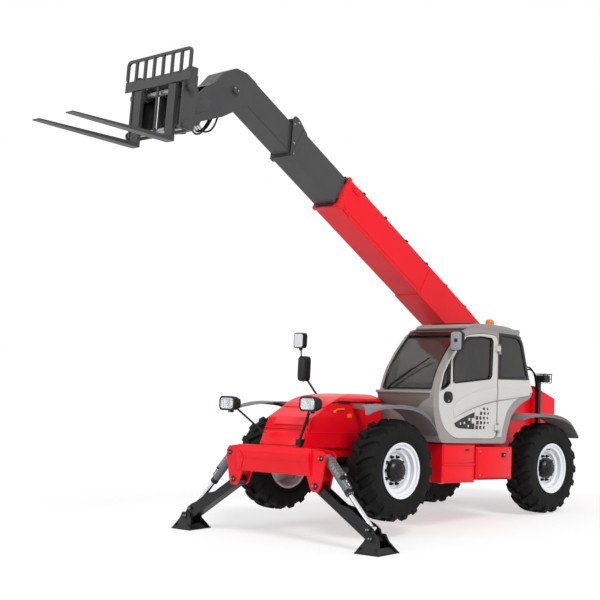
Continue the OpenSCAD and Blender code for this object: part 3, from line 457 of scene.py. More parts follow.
class TELE_OT_stage(bpy.types.Operator):
    """Puts up the floor, the soft light and the camera"""
    bl_idname = "telehandler.stage"
    bl_label = "Stage"

    def execute(self, context):
        scene = context.scene
        scene.view_settings.view_transform = "Standard"
        bm = bmesh.new()
        bmesh.ops.create_grid(bm, x_segments=1, y_segments=1, size=400)
        mesh = bpy.data.meshes.new("floor")
        bm.to_mesh(mesh)
        bm.free()
        floor = bpy.data.objects.new("floor", mesh)
        scene.collection.objects.link(floor)
        mat = bpy.data.materials.new("pale_floor")
        mat.use_nodes = True
        tree = mat.node_tree
        tree.nodes.clear()
        matt = add(tree, "ShaderNodeBsdfDiffuse", [("Color", linear("#f4f4f4"))])
        white = add(tree, "ShaderNodeEmission", [("Color", (1, 1, 1, 1)), ("Strength", 1.0)])
        share = add(tree, "ShaderNodeMath", [(0, seen_by_eye(tree)), (1, 0.55)], operation="MULTIPLY")
        mix = add(tree, "ShaderNodeMixShader", [(0, share.outputs[0]), (1, matt.outputs[0]), (2, white.outputs[0])])
        add(tree, "ShaderNodeOutputMaterial", [("Surface", mix.outputs[0])])
        mesh.materials.append(mat)
        world = bpy.data.worlds.new("studio")
        scene.world = world
        world.use_nodes = True
        tree = world.node_tree
        tree.nodes.clear()
        soft = add(tree, "ShaderNodeBackground", [("Color", linear("#f2f4f7")), ("Strength", 0.74)])
        pale = add(tree, "ShaderNodeBackground", [("Color", (1, 1, 1, 1)), ("Strength", 1.0)])
        mix = add(tree, "ShaderNodeMixShader", [(0, seen_by_eye(tree)), (1, soft.outputs[0]), (2, pale.outputs[0])])
        add(tree, "ShaderNodeOutputWorld", [("Surface", mix.outputs[0])])
        for name, energy, angle, turn in (("key", 2.1, 18, (48, 6, 62)), ("fill", 0.75, 40, (62, 0, -20))):
            lamp = bpy.data.lights.new(name, "SUN")
            lamp.energy = energy
            lamp.angle = math.radians(angle)
            obj = bpy.data.objects.new(name, lamp)
            obj.rotation_euler = [math.radians(t) for t in turn]
            scene.collection.objects.link(obj)
        camera = bpy.data.cameras.new("camera")
        camera.sensor_width = SENSOR
        camera.lens = FOCAL / PICTURE * SENSOR
        camera.clip_end = 1000
        view = bpy.data.objects.new("camera", camera)
        ahead = Vector((-math.sin(CAMERA_YAW) * math.cos(CAMERA_TIP), math.cos(CAMERA_YAW) * math.cos(CAMERA_TIP),
            math.sin(CAMERA_TIP)))
        right = Vector((math.cos(CAMERA_YAW), math.sin(CAMERA_YAW), 0))
        up = right.cross(ahead)
        across = math.cos(CAMERA_ROLL) * right + math.sin(CAMERA_ROLL) * up
        above = -math.sin(CAMERA_ROLL) * right + math.cos(CAMERA_ROLL) * up
        turn = Matrix((across, above, -ahead)).transposed().to_4x4()
        view.matrix_world = Matrix.Translation(CAMERA_AT) @ turn
        scene.collection.objects.link(view)
        scene.camera = view
        return {"FINISHED"}


# A lug starts past the middle of the tread, reaches over the shoulder and sweeps back by an angle.
LUG_START, LUG_REACH, LUG_SWEEP = -0.012, 0.209, 0.21
LUG_HALF_TOP, LUG_HALF_FOOT = 0.03, 0.044
SHOULDER_AT, SHOULDER_WIDE = 0.118, 0.079


def tyre_lug(bm, side, start, height):
    """Adds one lug: a bar that runs from the middle of the tread back to the shoulder."""
    part = bmesh.new()
    bmesh.ops.create_cube(part, size=1)
    long_edges = [e for e in part.edges if abs(e.verts[0].co.x - e.verts[1].co.x) > 0.5]
    bmesh.ops.subdivide_edges(part, edges=long_edges, cuts=5, use_grid_fill=True)
    for v in part.verts:
        along = v.co.x + 0.5
        x = LUG_START + LUG_REACH * along
        shoulder = max(0.0, (x - SHOULDER_AT) / SHOULDER_WIDE)
        top = AXLE_Z - 0.004 * (x / 0.12) ** 2 - 0.036 * shoulder ** 2
        foot = AXLE_Z - height - 0.012 - 0.075 * shoulder ** 1.5
        radius = top if v.co.z > 0 else foot
        wide = (LUG_HALF_TOP if v.co.z > 0 else LUG_HALF_FOOT) * (1.0 + 0.25 * along)
        turn = start - LUG_SWEEP * along ** 0.85 + v.co.y * 2 * wide / radius
        v.co = (side * x, -radius * math.sin(turn), radius * math.cos(turn))
    bmesh.ops.recalc_face_normals(part, faces=part.faces)
    join(bm, part)


class TELE_OT_tyres(bpy.types.Operator):
    """Builds the four lug tyres"""
    bl_idname = "telehandler.tyres"
    bl_label = "Lug tyres"

    def execute(self, context):
        look = context.scene.telehandler
        bottom = AXLE_Z - look.lug_height
        w = TYRE_HALF
        half = [(0.3185, 0.105), (0.3185, 0.158), (0.341, 0.172), (0.352, 0.184), (0.362, 0.18), (0.4, w - 0.006),
            (0.455, w - 0.001), (0.5, w - 0.004), (0.54, w - 0.016), (0.562, w - 0.04), (bottom - 0.004, w - 0.075),
            (bottom, 0.06)]
        profile = [*((r, -h) for r, h in half), (bottom + 0.001, 0), *reversed(half), (0.3, 0.058), (0.3, -0.058),
            (0.3185, -0.105)]
        step = 2 * math.pi / look.lugs
        for name, (side, y) in WHEELS.items():
            bm = bmesh.new()
            lathe(bm, profile, (0, 0, 0), (1, 0, 0), steps=96)
            for i in range(look.lugs):
                tyre_lug(bm, 1, i * step, look.lug_height)
                tyre_lug(bm, -1, (i + 0.5) * step, look.lug_height)
            place = STANCE @ Matrix.Translation((side * HALF_TRACK, y, AXLE_Z))
            obj = piece("lug_tyre_" + name, bm, "wheel_" + name, "tyre_rubber", place, sharp=38)
            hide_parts("tyre_" + name)
        return {"FINISHED"}


class TELE_OT_wheel_fittings(bpy.types.Operator):
    """Adds hub covers, wheel bolts and valves"""
    bl_idname = "telehandler.wheel_fittings"
    bl_label = "Wheel fittings"

    def execute(self, context):
        for name, (side, y) in WHEELS.items():
            bm = bmesh.new()
            out = Vector((1, 0, 0))
            lathe(bm, [(0, 0.176), (0.05, 0.176), (0.066, 0.17), (0.074, 0.156), (0.104, 0.154), (0.112, 0.148),
                (0.128, 0.124), (0.136, 0.12), (0.138, 0.062), (0, 0.062)], (0, 0, 0), out, 48)
            for i in range(10):
                a = 2 * math.pi * i / 10
                at = Vector((0.052, 0.166 * math.cos(a), 0.166 * math.sin(a)))
                rod(bm, at, at + out * 0.01, 0.021, 16)
                rod(bm, at, at + out * 0.034, 0.0165, 6)
                rod(bm, at, at + out * 0.05, 0.01, 10)
            for i in range(8):
                a = 2 * math.pi * (i + 0.5) / 8
                at = Vector((0.154, 0.09 * math.cos(a), 0.09 * math.sin(a)))
                bolt(bm, at, out, 0.0075)
            for i in range(3):
                a = 2 * math.pi * i / 3
                bolt(bm, (0.176, 0.03 * math.cos(a), 0.03 * math.sin(a)), out, 0.006)
            run(bm, [(0.096, 0, 0.245), (0.11, 0, 0.247), (0.13, 0.004, 0.252), (0.15, 0.01, 0.258)], 0.006)
            flip = Matrix.Diagonal((side, 1, 1, 1))
            piece("hub_" + name, bm, "wheel_" + name, "black_enamel",
                STANCE @ Matrix.Translation((side * HALF_TRACK, y, AXLE_Z)) @ flip)
        return {"FINISHED"}


def side(bm, x0, x1, outline, round_edge=0.0, material=0):
    """Adds a plate whose outline is seen from the side, as pairs of Y and Z."""
    plate(bm, [(x0, y, z) for y, z in outline], (x1 - x0, 0, 0), round_edge, material)


def both_sides(bm, build):
    """Runs a builder on the left and mirrors what it adds to the right."""
    build(bm)
    part = bmesh.new()
    build(part)
    mesh = bpy.data.meshes.new("mirrored")
    transformed(part, MIRROR).to_mesh(mesh)
    part.free()
    bm.from_mesh(mesh)
    bpy.data.meshes.remove(mesh)


def oval(wide, high, corner, steps=5):
    """Points of a rectangle with round corners about the origin."""
    points = []
    for k, (sx, sz) in enumerate(((1, 1), (-1, 1), (-1, -1), (1, -1))):
        for i in range(steps + 1):
            a = math.pi / 2 * (k + i / steps)
            points.append((sx * (wide / 2 - corner) + corner * math.cos(a),
                sz * (high / 2 - corner) + corner * math.sin(a)))
    return points


def oval_side(bm, x0, x1, centre, size, corner, round_edge=0.0, material=0, steps=5):
    """Adds a plate with round corners that is seen from the side; centre is its Y and Z."""
    side(bm, x0, x1, [(centre[0] + a, centre[1] + b) for a, b in oval(*size, corner, steps)], round_edge, material)


def oval_front(bm, centre, depth, size, corner, round_edge=0.0, material=0, steps=5):
    """Adds a plate with round corners that faces front or back."""
    x, y, z = centre
    plate(bm, [(x + a, y, z + b) for a, b in oval(*size, corner, steps)], (0, depth, 0), round_edge, material)


def ring(outer, inner):
    """Four-sided outlines that fill the space between two outlines with as many points."""
    n = len(outer)
    return [(outer[k], outer[(k + 1) % n], inner[(k + 1) % n], inner[k]) for k in range(n)]


def pin_head(bm, at, axis, radius, material=0, bolt_material=0):
    """Adds the chamfered head of a pivot pin with two bolts."""
    at, axis = Vector(at), Vector(axis).normalized()
    lathe(bm, [(0, 0.012), (radius * 0.3, 0.012), (radius * 0.34, 0.016), (radius * 0.82, 0.016), (radius, 0.008),
        (radius, -0.004), (0, -0.004)], at, axis, 32, material)
    across = axis.cross(Vector((0, 0, 1)))
    across = (across if across.length > 0.1 else axis.cross(Vector((1, 0, 0)))).normalized()
    for s in (-1, 1):
        bolt(bm, at + across * s * radius * 0.58 + axis * 0.016, axis, 0.008, bolt_material)


class TELE_OT_nose_trim(bpy.types.Operator):
    """Adds the lid seal, latches, marker and front panel of the nose"""
    bl_idname = "telehandler.nose_trim"
    bl_label = "Nose trim"

    def execute(self, context):
        bm = bmesh.new()

        def flank(bm):
            run(bm, [(0.372, y, z) for y, z in ((-0.43, 1.392), (-0.38, 1.402), (-0.2, 1.407), (0.1, 1.415),
                (0.46, 1.424))], 0.008, 0)
            block(bm, (0.368, -0.33, 1.388), (0.386, -0.12, 1.42), 0.005, 1)
            block(bm, (0.368, 0.16, 1.4), (0.386, 0.3, 1.43), 0.005, 1)
            for y in (-0.6, -0.25, 0.15):
                bolt(bm, (0.371, y, 0.93), (1, 0, 0), 0.01, 2)
            # Folded seam along the flank, over the wheel
            run(bm, [(0.371, -0.8, 1.03), (0.371, -0.55, 1.02), (0.371, -0.1, 1.02), (0.371, 0.4, 1.05)], 0.005, 2)
        both_sides(bm, flank)
        # Orange latch and amber marker on the cab side
        run(bm, [(0.378, -0.4, 1.285), (0.386, -0.375, 1.312), (0.388, -0.32, 1.322), (0.386, -0.23, 1.32)], 0.009, 3)
        block(bm, (0.368, -0.415, 1.268), (0.39, -0.372, 1.3), 0.006, 3)
        block(bm, (0.368, -0.155, 1.214), (0.384, -0.088, 1.262), 0.006, 3)
        # Pressed front: a grip panel that leans back, in a lighter red that is partly a painted highlight, a fold
        # under it and a lower band
        plate(bm, [(-0.235, -0.8255, 1.112), (0.335, -0.8255, 1.112), (0.318, -0.781, 1.206), (-0.2, -0.781, 1.206)],
            (0, -0.009, 0.004), 0.004, 4)
        run(bm, [(-0.36, -0.842, 1.07), (0.36, -0.842, 1.07)], 0.007, 2, smooth=False)
        plate(bm, [(-0.366, -0.9185, 0.868), (0.366, -0.9185, 0.868), (0.352, -0.853, 1.03), (-0.352, -0.853, 1.03)],
            (0, -0.006, 0.002), 0.003, 2)
        piece("nose_trim", bm, "chassis", ["hose_rubber", "black_plastic", "red_enamel", "amber_lens",
            "red_film_painted_highlight"])
        return {"FINISHED"}


class TELE_OT_beam_fittings(bpy.types.Operator):
    """Adds the pins, fold and doublers of the front beam"""
    bl_idname = "telehandler.beam_fittings"
    bl_label = "Beam fittings"

    def execute(self, context):
        bm = bmesh.new()
        run(bm, [(-0.6, -1.0585, 0.697), (0.6, -1.0585, 0.697)], 0.006, 0, smooth=False)

        def end(bm):
            for x, z, r in ((0.7, 0.42, 0.038), (0.78, 0.745, 0.033)):
                pin_head(bm, (x, -1.026, z), (0, -1, 0), r, 1, 2)
                pin_head(bm, (x, -0.834, z), (0, 1, 0), r, 1, 2)
            # Doubler that carries the load from the lugs into the beam, pointed like an arrow
            plate(bm, [(0.56, -1.0665, 0.776), (0.618, -1.0665, 0.776), (0.618, -1.055, 0.697),
                (0.49, -1.055, 0.697)], (0, -0.012, 0), 0.003, 0)
            plate(bm, [(0.49, -1.055, 0.697), (0.618, -1.055, 0.697), (0.618, -1.03, 0.545), (0.56, -1.03, 0.545)],
                (0, -0.012, 0), 0.003, 0)
            block(bm, (0.585, -1.045, 0.535), (0.625, -0.825, 0.85), 0.006, 0)
        both_sides(bm, end)
        piece("beam_fittings", bm, "chassis", ["red_enamel", "black_enamel", "plated_steel"])
        return {"FINISHED"}


class TELE_OT_stabiliser_fittings(bpy.types.Operator):
    """Adds pin heads, glands, ports and drilled covers of the stabilisers"""
    bl_idname = "telehandler.stabiliser_fittings"
    bl_label = "Stabiliser fittings"

    def execute(self, context):
        along = Vector((math.cos(LEG_DROP), 0, -math.sin(LEG_DROP)))
        up = Vector((math.sin(LEG_DROP), 0, math.cos(LEG_DROP)))
        eye = LEG_PIN + along * (LEG_LENGTH - EYE_BACK) + up * EYE_UP
        reach = (eye - BARREL_PIN).normalized()
        above = Vector((-reach.z, 0, reach.x))
        foot_pin = Vector((FOOT_X, LEG_Y, FOOT_Z))
        across = Vector((0, 1, 0))
        wide = 0.0465

        def on_barrel(a, b, c):
            return BARREL_PIN + reach * a + across * b + above * c

        for name, flip in (("left", Matrix.Identity(4)), ("right", MIRROR)):
            bm = bmesh.new()
            for s in (-1, 1):
                pin_head(bm, eye + Vector((0, s * 0.077, 0)), (0, s, 0), 0.026, 0, 1)
                pin_head(bm, foot_pin + Vector((0, s * 0.096, 0)), (0, s, 0), 0.03, 0, 1)
            piece("leg_pins_" + name, bm, "leg_" + name, ["black_enamel", "plated_steel"],
                STANCE @ flip)
            bm = bmesh.new()
            end = BARREL_PIN + reach * BARREL_LENGTH
            lathe(bm, [(0.0475, -0.004), (0.05, -0.007), (0.05, -0.036), (0.0475, -0.04), (0.0475, -0.06)], end,
                reach, 40, 0)
            # Ports with their pipe on the barrel
            for k in (0.42, 0.5):
                at = BARREL_PIN + reach * k + above * 0.046
                rod(bm, at, at + above * 0.02, 0.012, 6, 1)
            top = BARREL_PIN + above * 0.06
            run(bm, [top + reach * 0.5 + above * 0.008, top + reach * 0.44 + above * 0.022,
                top + reach * 0.36 + above * 0.016, top + reach * 0.31 + above * 0.01], 0.006, 0)
            # Drilled cover on the barrel, folded over the front edge, with a black block at its lower end
            plate(bm, [on_barrel(a, b, 0.06) for a, b in ((0.038, -wide), (0.322, -wide), (0.322, wide),
                (0.038, wide))], above * 0.0025, 0, 2)
            plate(bm, [on_barrel(a, -wide - 0.0005, c) for a, c in ((0.038, 0.01), (0.322, 0.01), (0.322, 0.0625),
                (0.038, 0.0625))], across * -0.0022, 0, 2)
            for i in range(6):
                for b in (-0.028, 0, 0.028):
                    at = on_barrel(0.07 + 0.044 * i, b, 0.0615)
                    rod(bm, at, at + above * 0.0014, 0.0085, 16, 0)
                for c in (0.024, 0.046):
                    at = on_barrel(0.07 + 0.044 * i, -wide - 0.002, c)
                    rod(bm, at, at - across * 0.001, 0.0065, 16, 0)
            turn = Matrix((reach, across, above)).transposed().to_4x4()
            middle = on_barrel(0.336, 0, 0.0505)
            half = Vector((0.026, 0.048, 0.0145))
            block(bm, middle - half, middle + half, 0.005, 0, turn)
            piece("leg_gland_" + name, bm, "leg_barrel_" + name, ["black_enamel", "plated_steel",
                "zinc_sheet"], STANCE @ flip)
        return {"FINISHED"}


QUARTER_SKIN = [(1.858, 1.028), (1.952, 1.028), (1.964, 1.112), (2.052, 1.348), (2.19, 1.482), (2.36, 1.562),
    (2.632, 1.628), (2.548, 1.785), (2.45, 1.778), (1.858, 1.768)]
QUARTER_GLASS = [(1.895, 1.795), (2.49, 1.815), (2.455, 1.92), (2.4, 2.09), (2.345, 2.245), (2.3, 2.3),
    (2.235, 2.326), (1.895, 2.34)]
SCREEN_EDGE = [(0.551, 1.612), (0.583, 1.695), (0.632, 1.822), (0.7, 1.925), (0.8, 2.058), (0.9, 2.17),
    (1.025, 2.298)]


class TELE_OT_cab_panels(bpy.types.Operator):
    """Adds the rear quarter skin, the cowl and the black glass borders of the cab"""
    bl_idname = "telehandler.cab_panels"
    bl_label = "Cab panels"

    def execute(self, context):
        x = CAB_OUT
        bm = bmesh.new()
        side(bm, x - 0.002, x + 0.006, QUARTER_SKIN, 0.003, 0)
        # Raised band that carries on from the door
        side(bm, x + 0.003, x + 0.012, [(1.862, 1.503), (2.05, 1.523), (2.257, 1.544), (2.45, 1.567), (2.585, 1.588),
            (2.56, 1.615), (2.4, 1.628), (2.2, 1.645), (1.862, 1.672)], 0.004, 0)
        # Border of the rear side glass
        outer = [(1.86, 1.772), (2.548, 1.79), (2.5, 1.93), (2.43, 2.13), (2.375, 2.28), (2.31, 2.345), (2.24, 2.366),
            (1.86, 2.376)]
        for quad in ring(outer, QUARTER_GLASS):
            side(bm, x - 0.002, x + 0.004, quad, 0, 1)
        run(bm, [(x + 0.001, y, z) for y, z in [*QUARTER_GLASS, QUARTER_GLASS[0]]], 0.008, 2, smooth=False)
        # Rear side pane in the darker side glass, painted shade for the dim cab behind it
        side(bm, x - 0.006, x - 0.003, QUARTER_GLASS, 0, 5)
        # Painted shadow: a thin dark taupe strip along the lower edge of the raised band, where the fold casts shade
        shade = [(1.862, 1.485), (2.05, 1.508), (2.257, 1.532), (2.45, 1.558), (2.585, 1.586), (2.45, 1.57),
            (2.257, 1.547), (2.05, 1.526), (1.862, 1.506)]
        side(bm, x + 0.0045, x + 0.0075, shade, 0, 4)
        # Cowl under the windscreen: a dark face below a pale ledge
        plate(bm, [(0.29, 0.47, 1.55), (1.088, 0.536, 1.55), (1.105, 0.588, 1.28), (0.29, 0.512, 1.44)],
            (0, 0.075, 0), 0.006, 3)
        plate(bm, [(0.28, 0.452, 1.548), (1.09, 0.522, 1.548), (1.135, 0.6, 1.548), (0.28, 0.6, 1.548)],
            (0, 0, 0.034), 0.01, 4)
        for k in range(9):
            block(bm, (0.36 + 0.075 * k, 0.505 + 0.007 * k, 1.58), (0.4 + 0.075 * k, 0.53 + 0.007 * k, 1.585), 0.002,
                1)
        # Windscreen border, pressed on the outside
        edge = [(y - 0.004, z) for y, z in SCREEN_EDGE]
        for x0 in (0.312, 1.092):
            for (y0, z0), (y1, z1) in zip(edge, edge[1:]):
                plate(bm, [(x0, y0, z0), (x0 + 0.018, y0, z0), (x0 + 0.018, y1, z1), (x0, y1, z1)], (0, 0.01, -0.004),
                    0, 1)
        run(bm, [(0.33, edge[0][0], 1.612), (0.71, edge[0][0] - 0.002, 1.611), (1.09, edge[0][0], 1.612)], 0.01, 2)
        run(bm, [(0.33, edge[-1][0], 2.296), (0.71, edge[-1][0] - 0.002, 2.297), (1.09, edge[-1][0], 2.296)], 0.01, 2)
        header = [(1.024, 2.3), (1.052, 2.331), (1.082, 2.3455), (1.2, 2.38)]
        for (y0, z0), (y1, z1) in zip(header, header[1:]):
            plate(bm, [(0.312, y0, z0), (1.108, y0, z0), (1.108, y1, z1), (0.312, y1, z1)], (0, 0.006, -0.012), 0, 1)
        # Rear window seal and the seal of the right-hand side glass
        rear = [(CAB_IN + 0.07, 2.565, 1.8), (CAB_OUT - 0.07, 2.565, 1.8), (CAB_OUT - 0.07, 2.412, 2.25),
            (CAB_IN + 0.07, 2.412, 2.25)]
        run(bm, [*rear, rear[0]], 0.01, 2, smooth=False)
        right = [(0.8, 1.69), (2.44, 1.72), (2.3, 2.26), (1.2, 2.29), (0.9, 2.05)]
        run(bm, [(CAB_IN - 0.001, y, z) for y, z in [*right, right[0]]], 0.009, 2, smooth=False)
        piece("cab_panels", bm, "chassis", ["cab_grey_enamel", "glass_border", "hose_rubber",
            "cowl_brown", "cab_taupe", "side_glass_painted_shade"])
        return {"FINISHED"}


MAIN_GLASS = [(0.93, 1.69), (1.72, 1.775), (1.735, 2.29), (1.5, 2.3), (1.19, 2.262), (0.93, 1.97)]
FRONT_GLASS = [(0.69, 1.59), (0.86, 1.672), (0.86, 1.945), (0.765, 1.82)]


class TELE_OT_door_trim(bpy.types.Operator):
    """Adds the handle, raised band, graphic and seals of the door"""
    bl_idname = "telehandler.door_trim"
    bl_label = "Door trim"

    def execute(self, context):
        x = CAB_OUT
        bm = bmesh.new()
        for outline in (MAIN_GLASS, FRONT_GLASS):
            soft = []
            for k, (y, z) in enumerate(outline):
                here = Vector((y, z))
                for other in (outline[k - 1], outline[(k + 1) % len(outline)]):
                    step = Vector(other) - here
                    soft.append(here + step.normalized() * min(0.035, step.length * 0.4))
            run(bm, [(x - 0.002, p.x, p.y) for p in [*soft, soft[0]]], 0.01, 1, smooth=False)
        # Raised band between the two folds of the skin
        side(bm, x - 0.002, x + 0.007, [(0.962, 1.262), (1.14, 1.33), (1.332, 1.392), (1.58, 1.455), (1.838, 1.5),
            (1.838, 1.671), (1.531, 1.629), (1.33, 1.578), (1.123, 1.511), (0.985, 1.452), (0.938, 1.36)], 0.004, 0)
        # Painted shadow: a thin dark taupe strip along the lower edge of the raised band, where the fold casts shade
        shade = [(0.955, 1.258), (1.14, 1.318), (1.332, 1.377), (1.58, 1.438), (1.838, 1.482), (1.838, 1.503),
            (1.58, 1.458), (1.332, 1.395), (1.14, 1.333)]
        side(bm, x - 0.002, x + 0.0025, shade, 0, 5)
        # Fired borders that carry the glass up to the frame
        side(bm, x - 0.002, x + 0.0015, [(0.916, 1.688), (0.932, 1.688), (0.932, 1.968), (1.192, 2.26), (1.5, 2.299),
            (1.5, 2.311), (1.175, 2.283), (0.99, 2.098), (0.905, 1.99)], 0, 4)
        side(bm, x - 0.002, x + 0.0015, [(0.686, 1.588), (0.761, 1.822), (0.858, 1.948), (0.858, 1.672),
            (0.872, 1.678), (0.873, 1.99), (0.8, 1.896), (0.742, 1.812), (0.672, 1.585)], 0, 4)
        # Handle in a black dish
        oval_side(bm, x - 0.002, x + 0.008, (0.83, 1.512), (0.176, 0.142), 0.062, 0.004, 2)
        oval_side(bm, x + 0.006, x + 0.02, (0.83, 1.524), (0.128, 0.046), 0.021, 0.005, 2)
        rod(bm, (x + 0.006, 0.83, 1.468), (x + 0.014, 0.83, 1.468), 0.012, 20, 3)
        # Leaf-shaped graphic with loose squares behind it
        leaf = [(0.96, 1.19), (0.998, 1.146), (1.06, 1.13), (1.375, 1.122), (1.375, 1.196), (1.315, 1.196),
            (1.315, 1.262), (1.375, 1.262), (1.375, 1.338), (1.25, 1.3), (1.1, 1.248)]
        side(bm, x - 0.002, x + 0.003, leaf, 0, 4)
        for k, row in enumerate((1.146, 1.206, 1.266, 1.326, 1.384)):
            for j in range(4):
                if (k, j) in ((4, 0), (4, 1), (3, 0), (0, 3)):
                    continue
                half = 0.024 - 0.0036 * j
                y = 1.425 + 0.074 * j + 0.014 * (k % 2)
                oval_side(bm, x - 0.002, x + 0.003, (y, row), (2 * half, 2 * half), half * 0.3, 0, 4, 2)
        for y, z, half in ((1.085, 1.19, 0.013), (1.165, 1.198, 0.015), (1.245, 1.16, 0.014), (1.265, 1.245, 0.018)):
            oval_side(bm, x + 0.002, x + 0.0045, (y, z), (2 * half, 2 * half), half * 0.3, 0, 0, 2)
        # Inner pull
        run(bm, [(x - 0.045, 1.0, 1.6), (x - 0.085, 1.02, 1.6), (x - 0.085, 1.4, 1.62), (x - 0.045, 1.42, 1.62)],
            0.012, 1)
        piece("door_trim", bm, "door", ["cab_grey_enamel", "hose_rubber", "black_plastic",
            "plated_steel", "glass_border", "cab_taupe"])
        return {"FINISHED"}


class TELE_OT_wiper(bpy.types.Operator):
    """Adds the windscreen wiper"""
    bl_idname = "telehandler.wiper"
    bl_label = "Wiper"

    def execute(self, context):
        bm = bmesh.new()
        lathe(bm, [(0, 0.03), (0.018, 0.03), (0.026, 0.016), (0.028, -0.012), (0, -0.012)], (0.4, 0.535, 1.585),
            (0, -1, 0.25), 24)
        run(bm, [(0.4, 0.515, 1.59), (0.47, 0.535, 1.66), (0.62, 0.575, 1.775), (0.75, 0.622, 1.862)], 0.013)
        run(bm, [(0.42, 0.517, 1.6), (0.52, 0.545, 1.69), (0.64, 0.58, 1.78)], 0.006)
        run(bm, [(0.55, 0.56, 1.702), (0.68, 0.6, 1.808), (0.8, 0.645, 1.895), (0.95, 0.706, 2.0)], 0.01)
        run(bm, [(0.55, 0.568, 1.7), (0.68, 0.609, 1.806), (0.8, 0.654, 1.893), (0.95, 0.715, 1.998)], 0.005)
        piece("wiper", bm, "chassis", "black_plastic")
        return {"FINISHED"}


CLOTH_FRAMES = 20
VOXEL = 0.009


def swollen(name, bm, finish, cap):
    """Blows a foam block up under cloth, no point by more than cap; returns an object at the origin."""
    mesh = bpy.data.meshes.new(name)
    bm.to_mesh(mesh)
    bm.free()
    obj = bpy.data.objects.new(name, mesh)
    bpy.context.scene.collection.objects.link(obj)
    remesh = obj.modifiers.new("remesh", "REMESH")
    remesh.mode = "VOXEL"
    remesh.voxel_size = VOXEL

    def freeze():
        graph = bpy.context.evaluated_depsgraph_get()
        graph.update()
        made = bpy.data.meshes.new_from_object(obj.evaluated_get(graph))
        obj.modifiers.clear()
        obj.data = made
        return made

    rest = [v.co.copy() for v in freeze().vertices]
    cloth = obj.modifiers.new("cloth", "CLOTH")
    cloth.settings.quality = 4
    cloth.settings.use_pressure = True
    cloth.settings.uniform_pressure_force = 4
    cloth.settings.effector_weights.gravity = 0
    cloth.point_cache.frame_start = 1
    cloth.point_cache.frame_end = CLOTH_FRAMES
    for f in range(1, CLOTH_FRAMES + 1):
        bpy.context.scene.frame_set(f)
    for v, r in zip(freeze().vertices, rest):
        moved = v.co - r
        if moved.length > cap:
            v.co = r + moved * (cap / moved.length)
    bpy.context.scene.frame_set(1)
    obj.data.materials.clear()
    obj.data.materials.append(FINISH[finish])
    obj.data.shade_smooth()
    return obj


class TELE_OT_operator_seat(bpy.types.Operator):
    """Builds the padded seat on its sprung base"""
    bl_idname = "telehandler.operator_seat"
    bl_label = "Operator seat"

    def execute(self, context):
        back_turn = Matrix.Rotation(math.radians(-14), 4, "X")
        places = {"seat_cushion": (Vector((0.71, 1.675, 1.255)), Matrix.Identity(4), (0.235, 0.255, 0.052)),
            "seat_back": (Vector((0.71, 1.995, 1.65)), back_turn, (0.215, 0.03, 0.3))}
        for name, (centre, turn, half) in places.items():
            bm = bmesh.new()
            block(bm, [-h for h in half], half, min(half) * 0.7)
            obj = swollen(name, bm, "seat_cloth", 0.02)
            flat = 2 if name == "seat_cushion" else 1
            face = 1 if name == "seat_cushion" else -1
            for v in obj.data.vertices:
                if v.co[flat] * face > 0:
                    # Sewn channels
                    for x0 in (-0.115, 0.115):
                        v.co[flat] -= face * 0.012 * math.exp(-((v.co.x - x0) / 0.01) ** 2)
                    # The bolsters stand higher than the middle
                    v.co[flat] += face * 0.014 * max(0.0, (abs(v.co.x) - 0.12) / 0.1)
            obj.data.transform(STANCE @ Matrix.Translation(centre) @ turn)
            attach(obj, "chassis")
            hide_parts("operator_seat")
        bm = bmesh.new()
        block(bm, (0.48, 1.42, 1.16), (0.94, 1.94, 1.196), 0.012)
        block(bm, (0.53, 1.52, 0.992), (0.89, 1.88, 1.03), 0.008)
        for k in range(5):
            block(bm, (0.535, 1.525, 1.032 + 0.026 * k), (0.885, 1.875, 1.052 + 0.026 * k), 0.01)
        plate(bm, [(0.5, 1.945, 1.22), (0.92, 1.945, 1.22), (0.92, 2.09, 1.93), (0.5, 2.09, 1.93)],
            (0, 0.022, -0.004), 0.008)
        for s in (-1, 1):
            block(bm, (0.71 + s * 0.265 - 0.03, 1.6, 1.395), (0.71 + s * 0.265 + 0.03, 1.93, 1.435), 0.014)
            rod(bm, (0.71 + s * 0.265, 1.9, 1.2), (0.71 + s * 0.265, 1.9, 1.4), 0.016)
        obj = piece("seat_base", bm, "chassis", "black_plastic")
        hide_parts("operator_seat")
        return {"FINISHED"}


class TELE_OT_dash_trim(bpy.types.Operator):
    """Adds the instrument hood, switches and levers in the cab"""
    bl_idname = "telehandler.dash_trim"
    bl_label = "Dash trim"

    def execute(self, context):
        bm = bmesh.new()
        block(bm, (0.56, 0.66, 1.585), (0.86, 0.8, 1.66), 0.022, 0)
        block(bm, (0.59, 0.797, 1.6), (0.83, 0.803, 1.648), 0.003, 1)
        for k in range(6):
            block(bm, (0.36 + 0.032 * k, 0.776, 1.47), (0.385 + 0.032 * k, 0.8, 1.51), 0.004, 1)
        for x in (0.4, 1.0):
            lathe(bm, [(0, 0.012), (0.03, 0.012), (0.04, 0.004), (0.042, -0.006), (0, -0.006)], (x, 0.735, 1.59),
                (0, 0.3, 1), 24, 1)
        # Joystick console beside the seat
        block(bm, (0.335, 1.42, 0.992), (0.43, 1.98, 1.34), 0.018, 0)
        rod(bm, (0.382, 1.5, 1.338), (0.382, 1.47, 1.44), 0.012, 16, 0)
        lathe(bm, [(0, 0.075), (0.016, 0.072), (0.024, 0.055), (0.02, 0.02), (0.026, 0), (0, 0)],
            (0.382, 1.468, 1.43), (0, -0.3, 1), 20, 1)
        # Pedals
        for x in (0.6, 0.8):
            block(bm, (x - 0.04, 0.76, 1.02), (x + 0.04, 0.78, 1.12), 0.006, 1)
            rod(bm, (x, 0.77, 1.07), (x, 0.7, 1.32), 0.009, 12, 1)
        piece("dash_trim", bm, "chassis", ["black_plastic", "hose_rubber"])
        return {"FINISHED"}


LAMPS = [Vector((-0.7, -1.11, 1.345)), Vector((0.5, -0.92, 1.368))]


